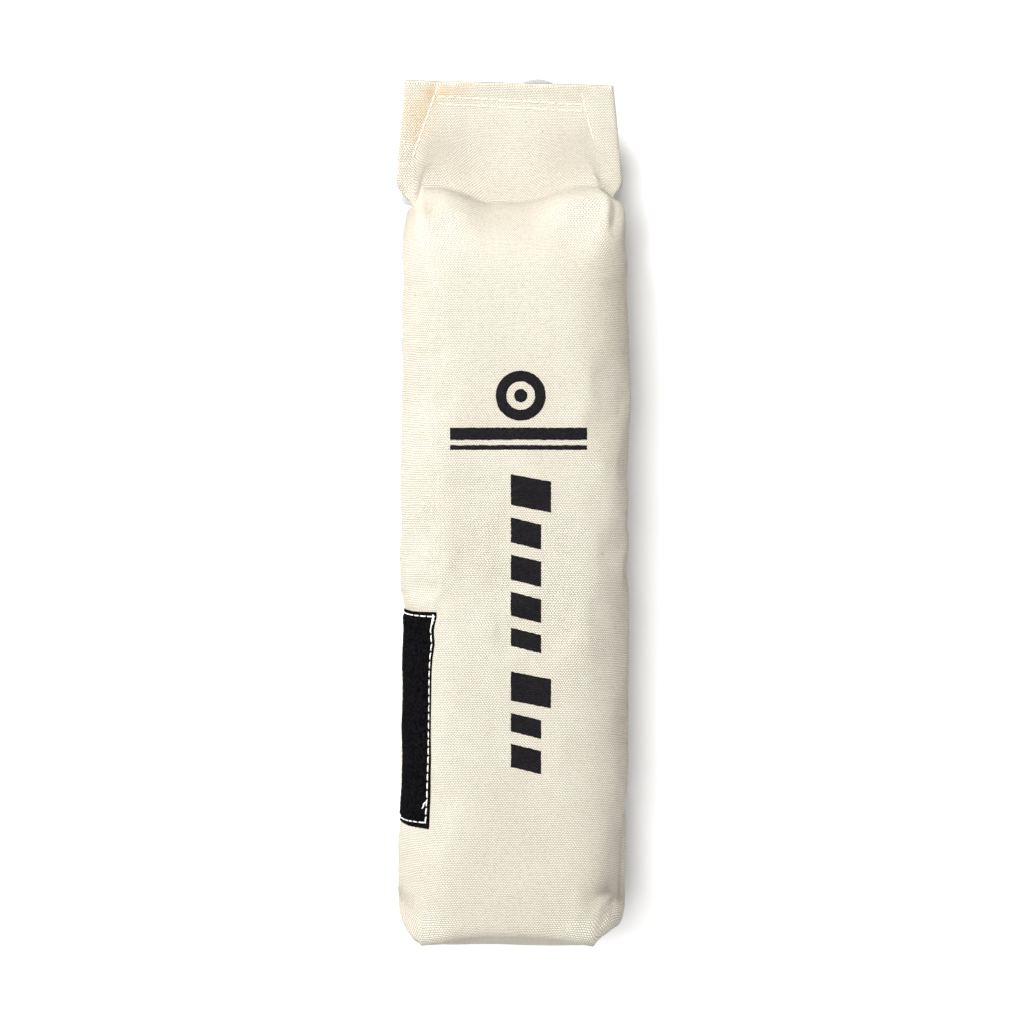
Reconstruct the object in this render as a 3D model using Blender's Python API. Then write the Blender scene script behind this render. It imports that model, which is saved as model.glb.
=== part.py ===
"""Canvas training bumper: a foam core in a sewn two-panel canvas casing, with a folding
head flap, a loop-tape strip down one edge and a thin throw cord.

The bumper lies on its back. Metres. +X runs from the head flap to the base, +Y runs to the
right of someone looking at the printed front, +Z is up.
Lengths below are in millimetres and are turned into metres when a mesh is made.
"s" is the distance from the base towards the head. "half" is half a width or half a depth.
"""
import math

import bmesh
import bpy
from mathutils import Vector

MM = 0.001

# Overall body
LENGTH = 304.8
HALF_WIDTH = 39.4
HALF_DEPTH = 31.0
MID_Z = 31.0
CANVAS = 1.0
GAP = 0.3

# Rounded base end
BASE_EDGE_LENGTH = 13.0
BASE_EDGE_INSET_Y = 7.4
BASE_EDGE_INSET_Z = 9.0
BASE_SEAM_HALF = 29.0

# Body section
CORNER_RADIUS = 18.0
SEAM_DIP = 1.0
SEAM_DIP_REACH = 12.0
DIP_RADIUS = 20.0

# Shoulder and neck
SHOULDER_S = 236.0
NECK_S = 260.5
NECK_HALF_WIDTH = 34.6
NECK_HALF_DEPTH = 2 * CANVAS + 1.5 * GAP
TUCK_DEPTH = 22.0
FOLD_RADIUS = CANVAS + GAP / 2 - 0.07

# Head flap
HINGE_S = 263.5
FLAP_START_S = 264.0
FLAP_WIDEST_S = 269.5
FLAP_WIDEST_HALF = 39.7
FLAP_TOP_HALF = 36.2
HEM_DEPTH = 10.0
FLAP_STATIONS = [FLAP_START_S, 265.4, 267.4, FLAP_WIDEST_S, 286.0, LENGTH - CANVAS - GAP]

# Foam core
CORE_BASE_S = 2.4
CORE_TOP_S = 234.0
CORE_TOP_EDGE = 7.0

# Loop-tape strip, measured along the casing's surface from the side seam
STRIP_START_S = 43.0
STRIP_END_S = 118.0
STRIP_NEAR_ARC = 9.4
STRIP_FAR_ARC = 34.8
STRIP_BORDER = 3.2
STRIP_SLOPE = 0.8
STRIP_BORDER_THICKNESS = 0.5
STRIP_PILE_THICKNESS = 1.8

# Sewing thread
THREAD_RADIUS = 0.35
SEAM_THREAD_RADIUS = 0.3
STITCH_LENGTH = 3.3

# Throw cord
CORD_RADIUS = 1.6
HANK_LOW_S = 272.8
HANK_HIGH_S = 297.4
HANK_CENTRE_Y = 9.0
HANK_RADIUS = 11.2
HANK_BOTTOM = 0.9
HANK_TOP = 7.9
KNOT_RADIUS = 3.1
KNOT_S = 279.0
TIE_THICKNESS = 0.6
TIE_WIDTH = 5.0

# Colours, linear
CREAM = (0.80, 0.74, 0.60, 1.0)
FOAM_GREY = (0.62, 0.62, 0.60, 1.0)
LOOP_BLACK = (0.016, 0.016, 0.018, 1.0)
THREAD_WHITE = (0.86, 0.84, 0.78, 1.0)
CORD_GREY = (0.55, 0.55, 0.52, 1.0)
TIE_BLACK = (0.03, 0.03, 0.03, 1.0)


def to_world(s, y, z):
    """Turn base distance, sideways and height from the mid plane into metres."""
    return Vector(((LENGTH / 2 - s) * MM, y * MM, (MID_Z + z) * MM))


def lerp(a, b, t):
    return a + (b - a) * t


# ---------------------------------------------------------------- section of the casing

def shoulder_share(s):
    """1 along the body, falling to 0 where the two panels meet at the neck."""
    if s <= SHOULDER_S:
        return 1.0
    along = min(1.0, (s - SHOULDER_S) / (NECK_S - SHOULDER_S))
    return max(0.0, math.cos(along * math.pi / 2))


def flap_half_width(s):
    if s < FLAP_WIDEST_S:
        along = max(0.0, (s - NECK_S) / (FLAP_WIDEST_S - NECK_S))
        return lerp(NECK_HALF_WIDTH, FLAP_WIDEST_HALF, along ** 1.3)
    along = (s - FLAP_WIDEST_S) / (LENGTH - FLAP_WIDEST_S)
    return lerp(FLAP_WIDEST_HALF, FLAP_TOP_HALF, along)


def section_shape(s):
    """Half width, half depth, tuck depth, ridge height and corner radius at s."""
    if s >= NECK_S:
        return flap_half_width(s), NECK_HALF_DEPTH, TUCK_DEPTH, GAP / 2, FOLD_RADIUS
    share = shoulder_share(s)
    half_width = lerp(NECK_HALF_WIDTH, HALF_WIDTH, share ** 0.8)
    half_depth = lerp(NECK_HALF_DEPTH, HALF_DEPTH, share)
    tuck = lerp(TUCK_DEPTH, SEAM_DIP, share)
    ridge = lerp(GAP / 2, SEAM_DIP_REACH, share)
    corner = lerp(FOLD_RADIUS, CORNER_RADIUS, share)
    if s < BASE_EDGE_LENGTH:
        slope = math.asin((BASE_EDGE_LENGTH - s) / BASE_EDGE_LENGTH)
        inset = 1.0 - math.cos(slope)
        half_width -= BASE_EDGE_INSET_Y * inset
        half_depth -= BASE_EDGE_INSET_Z * inset
        corner -= 7.0 * inset
        ridge -= 4.0 * inset
    return half_width, half_depth, tuck, ridge, corner


def fillet(previous, corner, following, radius, count):
    """Points that round one corner of a polygon."""
    before = (previous - corner).normalized()
    after = (following - corner).normalized()
    inside = math.acos(max(-1.0, min(1.0, before.dot(after))))
    if inside > math.pi - 0.01:
        return [corner.copy() for _ in range(count)]
    reach = radius / math.tan(inside / 2)
    centre = corner + (before + after).normalized() * (radius / math.sin(inside / 2))
    first = corner + before * reach - centre
    last = corner + after * reach - centre
    angle = math.pi - inside
    points = []
    for i in range(count):
        t = i / (count - 1)
        mixed = first * math.sin((1 - t) * angle) + last * math.sin(t * angle)
        points.append(centre + mixed / math.sin(angle))
    return points


def canvas_layers(s):
    """Thickness of the tuck, the side and the face, measured in the plane of the section."""
    before = section_shape(s - 0.5)
    after = section_shape(s + 0.5)
    if s <= SHOULDER_S or s >= NECK_S:
        return CANVAS, CANVAS, CANVAS
    side = CANVAS * math.hypot(1.0, after[0] - before[0])
    face = CANVAS * math.hypot(1.0, after[1] - before[1])
    shape = section_shape(s)
    return CANVAS, side, min(face, shape[1] - shape[3] - 1.25 * CANVAS)


def inset_corner(first, corner, last, first_depth, last_depth):
    """Where two sides of a polygon meet after each has moved inwards by its own depth."""
    before = (corner - first).normalized()
    after = (last - corner).normalized()
    before_normal = Vector((before.y, -before.x))
    after_normal = Vector((after.y, -after.x))
    turn = before.x * after.y - before.y * after.x
    start = corner - before_normal * first_depth
    gap = corner - after_normal * last_depth - start
    return start + before * ((gap.x * after.y - gap.y * after.x) / turn)


def half_section(s, inside=False):
    """Line of a panel's right half, from the side seam up to the middle."""
    half_width, half_depth, tuck, ridge, corner = section_shape(s)
    seam = Vector((half_width - tuck, GAP / 2))
    side = Vector((half_width, ridge))
    edge = Vector((half_width, half_depth))
    middle = Vector((0.0, half_depth))
    share = shoulder_share(s)
    ridge_radius = FOLD_RADIUS if s >= NECK_S else lerp(FOLD_RADIUS, DIP_RADIUS, share ** 2)
    turn = math.pi - math.acos((seam - side).normalized().dot((edge - side).normalized()))
    room = (edge - side).length
    side_reach = ridge_radius * math.tan(turn / 2)
    if side_reach + corner > room:
        shrink = room / (side_reach + corner) * 0.97
        ridge_radius *= shrink
        corner *= shrink
    if inside:
        tuck_layer, side_layer, face_layer = canvas_layers(s)
        direction = (side - seam).normalized()
        seam_inside = seam - Vector((direction.y, -direction.x)) * tuck_layer
        side_inside = inset_corner(seam, side, edge, tuck_layer, side_layer)
        edge = inset_corner(side, edge, middle, side_layer, face_layer)
        middle = Vector((0.0, half_depth - face_layer))
        seam, side = seam_inside, side_inside
        ridge_radius = max(0.06, ridge_radius - tuck_layer)
        corner = max(0.06, corner - face_layer)
    lower = fillet(seam, side, edge, ridge_radius, 5)
    upper = fillet(side, edge, middle, corner, 7)
    line = [seam, seam.lerp(lower[0], 0.5)] + lower + upper
    line += [upper[-1].lerp(middle, 0.5), middle]
    return line


def panel_section(s, inside=False):
    """Line of a whole panel at s, from the left side seam to the right one."""
    right = half_section(s, inside)
    left = [Vector((-p.x, p.y)) for p in right]
    return left + right[-2::-1]


# ------------------------------------------------------------------------ mesh helpers

def base_rows():
    """Rows across the flat base end, from the base seam out to its rounded edge."""
    rim = panel_section(0.001)
    count = len(rim)
    rows = []
    for share, dip in ((0.0, SEAM_DIP), (0.22, 0.0), (0.6, 0.0), (1.0, 0.0)):
        row = []
        for i, point in enumerate(rim):
            seam = Vector((lerp(-BASE_SEAM_HALF, BASE_SEAM_HALF, i / (count - 1)), GAP / 2))
            mixed = seam.lerp(point, share)
            mixed.y = max(mixed.y, GAP / 2)
            row.append((dip, mixed.x, mixed.y))
        rows.append(row)
    return rows


def station_rows(stations, inside=False):
    return [[(s, p.x, p.y) for p in panel_section(s, inside)] for s in stations]


def body_stations():
    edge = []
    for degrees in (70, 50, 30, 12):
        edge.append(BASE_EDGE_LENGTH * (1 - math.sin(math.radians(degrees))))
    body = [BASE_EDGE_LENGTH, 60.0, 125.0, 190.0, SHOULDER_S]
    shoulder = [239.5, 243.5, 247.5, 251.0, 254.0, 256.5, 258.5, 259.7, NECK_S]
    return edge + body + shoulder


def rows_to_world(rows, upward):
    """Millimetre rows as vectors, mirrored below the mid plane for the back."""
    sign = 1.0 if upward else -1.0
    return [[to_world(s, y, z * sign) for s, y, z in row] for row in rows]


def row_normals(rows, outward_sign):
    """Outward normal at each point of a grid of rows."""
    normals = []
    for r, row in enumerate(rows):
        line = []
        for c in range(len(row)):
            along = rows[min(r + 1, len(rows) - 1)][c] - rows[max(r - 1, 0)][c]
            across = row[min(c + 1, len(row) - 1)] - row[max(c - 1, 0)]
            line.append(across.cross(along).normalized() * outward_sign)
        normals.append(line)
    return normals


def base_normals(rows, outward_sign):
    """Normals for rows that begin at the base seam, where the first row has none of its own."""
    normals = row_normals(rows, outward_sign)
    normals[0] = normals[1]
    return normals


def shell_mesh(name, outer, inner, material):
    """A closed sheet between two grids of points."""
    mesh_builder = bmesh.new()
    tops = [[mesh_builder.verts.new(p) for p in row] for row in outer]
    bottoms = [[mesh_builder.verts.new(p) for p in row] for row in inner]
    last_row = len(outer) - 1
    last_column = len(outer[0]) - 1
    for r in range(last_row):
        for c in range(last_column):
            mesh_builder.faces.new((tops[r][c], tops[r][c + 1], tops[r + 1][c + 1], tops[r + 1][c]))
            mesh_builder.faces.new(
                (bottoms[r + 1][c], bottoms[r + 1][c + 1], bottoms[r][c + 1], bottoms[r][c]))
    for r in range(last_row):
        for c in (0, last_column):
            mesh_builder.faces.new((tops[r][c], tops[r + 1][c], bottoms[r + 1][c], bottoms[r][c]))
    for c in range(last_column):
        for r in (0, last_row):
            mesh_builder.faces.new((tops[r][c], bottoms[r][c], bottoms[r][c + 1], tops[r][c + 1]))
    finish_mesh(name, mesh_builder, material)


def finish_mesh(name, mesh_builder, material):
    bmesh.ops.recalc_face_normals(mesh_builder, faces=mesh_builder.faces)
    if mesh_builder.calc_volume(signed=True) < 0:
        bmesh.ops.reverse_faces(mesh_builder, faces=mesh_builder.faces)
    mesh = bpy.data.meshes.new(name)
    mesh_builder.to_mesh(mesh)
    mesh_builder.free()
    mesh.materials.append(material)
    scene_object = bpy.data.objects.new(name, mesh)
    bpy.context.scene.collection.objects.link(scene_object)


def tube_mesh(name, path, radius, sides, material):
    """A closed round tube along a path, with its frame carried from point to point."""
    mesh_builder = bmesh.new()
    rings = []
    side = None
    for i, point in enumerate(path):
        along = (path[min(i + 1, len(path) - 1)] - path[max(i - 1, 0)]).normalized()
        if side is None:
            helper = Vector((0, 0, 1)) if abs(along.z) < 0.9 else Vector((1, 0, 0))
            side = along.cross(helper).normalized()
        side = (side - along * side.dot(along)).normalized()
        other = along.cross(side)
        ring = []
        for k in range(sides):
            angle = 2 * math.pi * k / sides
            offset = side * math.cos(angle) + other * math.sin(angle)
            ring.append(mesh_builder.verts.new(point + offset * (radius * MM)))
        rings.append(ring)
    for ring, following in zip(rings, rings[1:]):
        for k in range(sides):
            after = (k + 1) % sides
            mesh_builder.faces.new((ring[k], ring[after], following[after], following[k]))
    mesh_builder.faces.new(rings[0])
    mesh_builder.faces.new(rings[-1])
    finish_mesh(name, mesh_builder, material)


def offset_rows(rows, normals, distance):
    return [[p + n * distance for p, n in zip(row, line)] for row, line in zip(rows, normals)]


# ------------------------------------------------------------------------ casing pieces

def casing_panels(material):
    """Front and back canvas. Its thickness goes inwards, along the normal as far as the
    shoulder and in the plane of the section from there on."""
    body = [s for s in body_stations() if s < SHOULDER_S]
    shoulder = [s for s in body_stations() if s >= SHOULDER_S]
    low_rows = base_rows() + station_rows(body)
    for name, upward in (("front_panel", True), ("back_panel", False)):
        low_outer = rows_to_world(low_rows, upward)
        normals = base_normals(low_outer, 1.0 if upward else -1.0)
        low_inner = offset_rows(low_outer, normals, -CANVAS * MM)
        outer = low_outer + rows_to_world(station_rows(shoulder), upward)
        inner = low_inner + rows_to_world(station_rows(shoulder, True), upward)
        shell_mesh(name, outer, inner, material)


def flap_layers(material):
    for name, upward in (("flap_front", True), ("flap_back", False)):
        outer = rows_to_world(station_rows(FLAP_STATIONS), upward)
        inner = rows_to_world(station_rows(FLAP_STATIONS, True), upward)
        shell_mesh(name, outer, inner, material)


def flap_hem(material):
    """The mouth hem: the front layer's edge, turned over the top and down the back."""
    top = LENGTH
    face = NECK_HALF_DEPTH
    back = -(NECK_HALF_DEPTH + GAP)
    profile = [
        (top - CANVAS, face), (top, face), (top, back - CANVAS),
        (top - HEM_DEPTH, back - CANVAS), (top - HEM_DEPTH, back), (top - CANVAS, back)]
    mesh_builder = bmesh.new()
    ends = []
    for side in (-1.0, 1.0):
        end = []
        for s, z in profile:
            half = flap_half_width(s) - 0.3
            end.append(mesh_builder.verts.new(to_world(s, side * half, z)))
        ends.append(end)
        mesh_builder.faces.new(end)
    for i in range(len(profile)):
        after = (i + 1) % len(profile)
        mesh_builder.faces.new((ends[0][i], ends[0][after], ends[1][after], ends[1][i]))
    finish_mesh("flap_hem", mesh_builder, material)


def foam_core(material):
    """The buoyant core: the casing's inside shape, with a rounded flat top end."""
    stations = [s for s in body_stations() if s < CORE_TOP_S - CORE_TOP_EDGE]
    rows = base_rows()[1:] + station_rows(stations + [CORE_TOP_S - CORE_TOP_EDGE])
    rings = []
    front = rows_to_world(rows, True)
    back = rows_to_world(rows, False)
    inset = -(CANVAS + GAP) * MM
    front = offset_rows(front, row_normals(front, 1.0), inset)
    back = offset_rows(back, row_normals(back, -1.0), inset)
    for upper, lower in zip(front, back):
        rings.append(upper + lower[::-1])
    for ring in rings:
        for p in ring:
            p.x = min(p.x, (LENGTH / 2 - CORE_BASE_S) * MM)
    top = rings[-1]
    centre_z = MID_Z * MM
    for degrees in (30, 60, 90):
        rise = CORE_TOP_EDGE * MM * math.sin(math.radians(degrees))
        inset_y = 1 - CORE_TOP_EDGE / HALF_WIDTH * (1 - math.cos(math.radians(degrees)))
        inset_z = 1 - CORE_TOP_EDGE / HALF_DEPTH * (1 - math.cos(math.radians(degrees)))
        ring = []
        for p in top:
            ring.append(Vector((p.x - rise, p.y * inset_y, centre_z + (p.z - centre_z) * inset_z)))
        rings.append(ring)
    mesh_builder = bmesh.new()
    made = [[mesh_builder.verts.new(p) for p in ring] for ring in rings]
    count = len(made[0])
    for ring, following in zip(made, made[1:]):
        for i in range(count):
            after = (i + 1) % count
            mesh_builder.faces.new((ring[i], ring[after], following[after], following[i]))
    for ring in (made[0], made[-1]):
        mesh_builder.faces.new(ring)
    finish_mesh("foam_core", mesh_builder, material)


# -------------------------------------------------------------- strip, threads and cord

def left_surface_point(s, arc, lift):
    """Point over the front panel's left half, "arc" along it from the side seam."""
    line = half_section(s)
    done = 0.0
    for start, end in zip(line, line[1:]):
        step = (end - start).length
        if done + step >= arc and step > 1e-9:
            along = (end - start) / step
            point = start + along * (arc - done)
            normal = Vector((along.y, -along.x))
            point = point + normal * lift
            return to_world(s, -point.x, point.y)
        done += step
    return to_world(s, -line[-1].x, line[-1].y + lift)


def strip_columns():
    """Strip columns as (arc, thickness): its borders, its pile and the casing's bends."""
    line = half_section(STRIP_START_S)
    pile_near = STRIP_NEAR_ARC + STRIP_BORDER + STRIP_SLOPE
    pile_far = STRIP_FAR_ARC - STRIP_BORDER - STRIP_SLOPE
    columns = [
        (STRIP_NEAR_ARC, STRIP_BORDER_THICKNESS),
        (STRIP_NEAR_ARC + STRIP_BORDER, STRIP_BORDER_THICKNESS),
        (pile_near, STRIP_PILE_THICKNESS)]
    done = 0.0
    for start, end in zip(line, line[1:]):
        done += (end - start).length
        if pile_near + 0.5 < done < pile_far - 0.5 and done > columns[-1][0] + 0.5:
            columns.append((done, STRIP_PILE_THICKNESS))
    columns.append((pile_far, STRIP_PILE_THICKNESS))
    columns.append((STRIP_FAR_ARC - STRIP_BORDER, STRIP_BORDER_THICKNESS))
    columns.append((STRIP_FAR_ARC, STRIP_BORDER_THICKNESS))
    return columns


def strip_rows():
    """Strip rows as (s, thickness)."""
    ends = []
    for edge, inwards in ((STRIP_START_S, 1.0), (STRIP_END_S, -1.0)):
        ends.append((edge, STRIP_BORDER_THICKNESS))
        ends.append((edge + inwards * STRIP_BORDER, STRIP_BORDER_THICKNESS))
        ends.append((edge + inwards * (STRIP_BORDER + STRIP_SLOPE), STRIP_PILE_THICKNESS))
    return sorted(ends)


def smooth_lift_point(s, arc, lift):
    """Like left_surface_point, with the direction averaged across a bend."""
    before = left_surface_point(s, arc - 0.05, lift)
    after = left_surface_point(s, arc + 0.05, lift)
    return (before + after) / 2


def loop_strip(material):
    """Loop tape, pressed thin along its stitched border and full-depth inside it."""
    outer = []
    inner = []
    for s, row_thickness in strip_rows():
        top = []
        bottom = []
        for arc, column_thickness in strip_columns():
            thickness = min(row_thickness, column_thickness)
            top.append(smooth_lift_point(s, arc, GAP + thickness))
            bottom.append(smooth_lift_point(s, arc, GAP))
        outer.append(top)
        inner.append(bottom)
    shell_mesh("loop_strip", outer, inner, material)


def stitched_path(place, length, lift):
    """A thread that rises into a low hump for every stitch. "place" takes along and lift."""
    count = max(2, round(length / STITCH_LENGTH))
    path = []
    for i in range(count * 2 + 1):
        hump = 0.25 if i % 2 else 0.0
        path.append(place(i / (count * 2), lift + hump))
    return path


def strip_threads(material):
    """Four stitch rows that hold the strip down, just inside its edges."""
    lift = GAP + STRIP_BORDER_THICKNESS + GAP + THREAD_RADIUS
    low = STRIP_START_S + 1.7
    high = STRIP_END_S - 1.7
    near = STRIP_NEAR_ARC + 1.7
    far = STRIP_FAR_ARC - 1.7
    rows = {
        "strip_thread_bottom": lambda t, up: smooth_lift_point(low, lerp(near, far, t), up),
        "strip_thread_top": lambda t, up: smooth_lift_point(high, lerp(near, far, t), up),
        "strip_thread_side": lambda t, up: smooth_lift_point(lerp(low + 2, high - 2, t), near, up),
        "strip_thread_front": lambda t, up: smooth_lift_point(lerp(low + 2, high - 2, t), far, up),
    }
    lengths = {
        "strip_thread_bottom": far - near,
        "strip_thread_top": far - near,
        "strip_thread_side": high - low,
        "strip_thread_front": high - low,
    }
    for name, place in rows.items():
        tube_mesh(name, stitched_path(place, lengths[name], lift), THREAD_RADIUS, 6, material)


def seam_threads(material):
    """The closing seams' thread, in the valley of each side seam and the base seam."""
    lift = GAP + SEAM_THREAD_RADIUS
    for name, side in (("left_seam_thread", -1.0), ("right_seam_thread", 1.0)):
        path = []
        for s in (16.0, 60.0, 110.0, 160.0, 200.0, 232.0):
            path.append(to_world(s, side * (HALF_WIDTH - SEAM_DIP + lift), 0.0))
        tube_mesh(name, path, SEAM_THREAD_RADIUS, 6, material)
    path = []
    for share in (-0.85, -0.4, 0.0, 0.4, 0.85):
        path.append(to_world(SEAM_DIP - lift, share * BASE_SEAM_HALF, 0.0))
    tube_mesh("base_seam_thread", path, SEAM_THREAD_RADIUS, 6, material)


def flap_threads(material):
    """Two rows across the flap's hem and one slanting row that holds each tuck."""
    height = NECK_HALF_DEPTH + GAP + THREAD_RADIUS
    rows = (
        ("hem_thread_upper", (298.4, -25.0), (296.6, 25.6)),
        ("hem_thread_lower", (296.0, -25.6), (294.2, 26.0)),
        ("left_tuck_thread", (300.6, -27.4), (278.0, -34.0)),
        ("right_tuck_thread", (300.0, 27.4), (283.0, 30.6)),
    )
    for name, first, last in rows:
        def place(t, up, first=first, last=last):
            return to_world(lerp(first[0], last[0], t), lerp(first[1], last[1], t), up)
        length = math.dist(first, last)
        tube_mesh(name, stitched_path(place, length, height), THREAD_RADIUS, 6, material)


def smooth_path(points, steps):
    """Catmull-Rom curve through (s, y, z) points, in metres."""
    vectors = [to_world(*p) for p in points]
    path = []
    for i in range(len(vectors) - 1):
        p0 = vectors[max(i - 1, 0)]
        p1 = vectors[i]
        p2 = vectors[i + 1]
        p3 = vectors[min(i + 2, len(vectors) - 1)]
        for k in range(steps):
            t = k / steps
            bend = 2 * p0 - 5 * p1 + 4 * p2 - p3
            twist = 3 * p1 - p0 - 3 * p2 + p3
            path.append(0.5 * (2 * p1 + (p2 - p0) * t + bend * t * t + twist * t * t * t))
    path.append(vectors[-1])
    return path


def cord_lead(material):
    """The cord from the left end of the neck, down to the floor and back to its hank."""
    height = HANK_BOTTOM + CORD_RADIUS - MID_Z
    points = [
        (262.2, -29.5, -4.7), (262.3, -33.4, -5.1), (263.2, -37.2, -8.4), (264.8, -38.3, -14.5),
        (265.4, -36.4, -21.5), (264.6, -31.0, -26.6), (263.6, -23.0, height),
        (263.2, -13.0, height), (263.2, -5.0, height), (263.2, 0.6, height)]
    curve = bpy.data.curves.new("throw_cord", "CURVE")
    curve.dimensions = "3D"
    curve.bevel_depth = CORD_RADIUS * MM
    curve.bevel_resolution = 2
    curve.use_fill_caps = True
    path = smooth_path(points, 2)
    spline = curve.splines.new("POLY")
    spline.points.add(len(path) - 1)
    for target, point in zip(spline.points, path):
        target.co = (point.x, point.y, point.z, 1.0)
    curve.materials.append(material)
    cord = bpy.data.objects.new("throw_cord", curve)
    bpy.context.scene.collection.objects.link(cord)


def extruded_outline(name, outline, bottom, top, material):
    mesh_builder = bmesh.new()
    levels = []
    for z in (bottom, top):
        levels.append([mesh_builder.verts.new(to_world(s, y, z - MID_Z)) for s, y in outline])
    for i in range(len(outline)):
        after = (i + 1) % len(outline)
        mesh_builder.faces.new((levels[0][i], levels[0][after], levels[1][after], levels[1][i]))
    for level in levels:
        mesh_builder.faces.new(level)
    finish_mesh(name, mesh_builder, material)


def cord_hank(material):
    """The rest of the cord, folded flat on the floor under the flap."""
    outline = []
    for centre_s, start in ((HANK_LOW_S, 90), (HANK_HIGH_S, 270)):
        for i in range(13):
            angle = math.radians(start + i * 15)
            outline.append((centre_s + HANK_RADIUS * math.cos(angle),
                            HANK_CENTRE_Y + HANK_RADIUS * math.sin(angle)))
    extruded_outline("cord_hank", outline, HANK_BOTTOM, HANK_TOP, material)


def cord_tie(material):
    """A flat band round the middle of the hank."""
    middle = (HANK_LOW_S + HANK_HIGH_S) / 2
    loops = []
    for grow in (GAP, GAP + TIE_THICKNESS):
        left = HANK_CENTRE_Y - HANK_RADIUS - grow
        right = HANK_CENTRE_Y + HANK_RADIUS + grow
        low = HANK_BOTTOM - grow
        high = HANK_TOP + grow
        loops.append([(left, low), (right, low), (right, high), (left, high)])
    mesh_builder = bmesh.new()
    made = []
    for s in (middle - TIE_WIDTH / 2, middle + TIE_WIDTH / 2):
        for loop in loops:
            made.append([mesh_builder.verts.new(to_world(s, y, z - MID_Z)) for y, z in loop])
    inner_near, outer_near, inner_far, outer_far = made
    for first, second in (
            (inner_near, outer_near), (outer_near, outer_far),
            (outer_far, inner_far), (inner_far, inner_near)):
        for i in range(4):
            after = (i + 1) % 4
            mesh_builder.faces.new((first[i], first[after], second[after], second[i]))
    finish_mesh("cord_tie", mesh_builder, material)


def cord_knot(material):
    """The knot that ends the cord, lying against the hank's right side."""
    profile = ((-3.4, 1.3), (-2.6, 2.5), (-1.1, 3.1), (1.1, 3.1), (2.6, 2.5), (3.4, 1.3))
    centre_y = HANK_CENTRE_Y + HANK_RADIUS + GAP + KNOT_RADIUS
    centre_z = HANK_BOTTOM + KNOT_RADIUS - MID_Z
    sides = 16
    mesh_builder = bmesh.new()
    rings = []
    for along, radius in profile:
        ring = []
        for k in range(sides):
            angle = 2 * math.pi * k / sides
            y = centre_y + radius * math.cos(angle)
            z = centre_z + radius * math.sin(angle)
            ring.append(mesh_builder.verts.new(to_world(KNOT_S + along, y, z)))
        rings.append(ring)
    for ring, following in zip(rings, rings[1:]):
        for k in range(sides):
            after = (k + 1) % sides
            mesh_builder.faces.new((ring[k], ring[after], following[after], following[k]))
    mesh_builder.faces.new(rings[0])
    mesh_builder.faces.new(rings[-1])
    finish_mesh("cord_knot", mesh_builder, material)


# ----------------------------------------------------------------------------- building

def plain_material(name, colour, roughness):
    material = bpy.data.materials.new(name)
    material.use_nodes = True
    shader = material.node_tree.nodes["Principled BSDF"]
    shader.inputs["Base Color"].default_value = colour
    shader.inputs["Roughness"].default_value = roughness
    material.diffuse_color = colour
    return material


def clear_scene():
    for scene_object in list(bpy.data.objects):
        bpy.data.objects.remove(scene_object)


def main():
    clear_scene()
    canvas = plain_material("canvas", CREAM, 0.9)
    foam = plain_material("foam", FOAM_GREY, 0.8)
    loop_tape = plain_material("loop_tape", LOOP_BLACK, 0.95)
    thread = plain_material("thread", THREAD_WHITE, 0.7)
    cord = plain_material("cord", CORD_GREY, 0.8)
    tie = plain_material("tie", TIE_BLACK, 0.6)
    foam_core(foam)
    casing_panels(canvas)
    loop_strip(loop_tape)
    strip_threads(thread)
    seam_threads(thread)
    flap_layers(canvas)
    flap_hem(canvas)
    flap_threads(thread)
    cord_lead(cord)
    cord_hank(cord)
    cord_knot(cord)
    cord_tie(tie)


main()
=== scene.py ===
import math
import random

import bmesh
import bpy
import numpy as np
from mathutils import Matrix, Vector, noise


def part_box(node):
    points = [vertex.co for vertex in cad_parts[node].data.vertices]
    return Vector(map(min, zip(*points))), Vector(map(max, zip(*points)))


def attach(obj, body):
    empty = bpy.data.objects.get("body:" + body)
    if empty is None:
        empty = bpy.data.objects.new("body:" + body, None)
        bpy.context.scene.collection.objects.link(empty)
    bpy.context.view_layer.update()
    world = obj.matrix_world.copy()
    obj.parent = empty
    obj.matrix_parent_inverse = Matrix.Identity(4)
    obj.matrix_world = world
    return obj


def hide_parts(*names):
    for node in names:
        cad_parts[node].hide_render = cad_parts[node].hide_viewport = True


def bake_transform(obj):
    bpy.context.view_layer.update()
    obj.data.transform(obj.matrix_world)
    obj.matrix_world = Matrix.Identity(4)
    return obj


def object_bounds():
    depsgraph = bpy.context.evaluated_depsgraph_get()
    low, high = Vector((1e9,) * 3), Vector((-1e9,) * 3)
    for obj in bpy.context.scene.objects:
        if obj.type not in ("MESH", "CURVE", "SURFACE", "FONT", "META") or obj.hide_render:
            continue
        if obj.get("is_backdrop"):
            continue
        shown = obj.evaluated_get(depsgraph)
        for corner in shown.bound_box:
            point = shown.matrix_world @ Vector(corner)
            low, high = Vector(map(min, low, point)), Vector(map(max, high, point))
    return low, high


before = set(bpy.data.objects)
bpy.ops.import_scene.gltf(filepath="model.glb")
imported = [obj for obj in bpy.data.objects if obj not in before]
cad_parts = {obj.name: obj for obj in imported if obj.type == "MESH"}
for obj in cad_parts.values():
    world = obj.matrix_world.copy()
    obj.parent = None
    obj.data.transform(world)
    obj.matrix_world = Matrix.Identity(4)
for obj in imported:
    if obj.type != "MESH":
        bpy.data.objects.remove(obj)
CAD_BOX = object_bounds()

MM = 0.001

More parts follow.
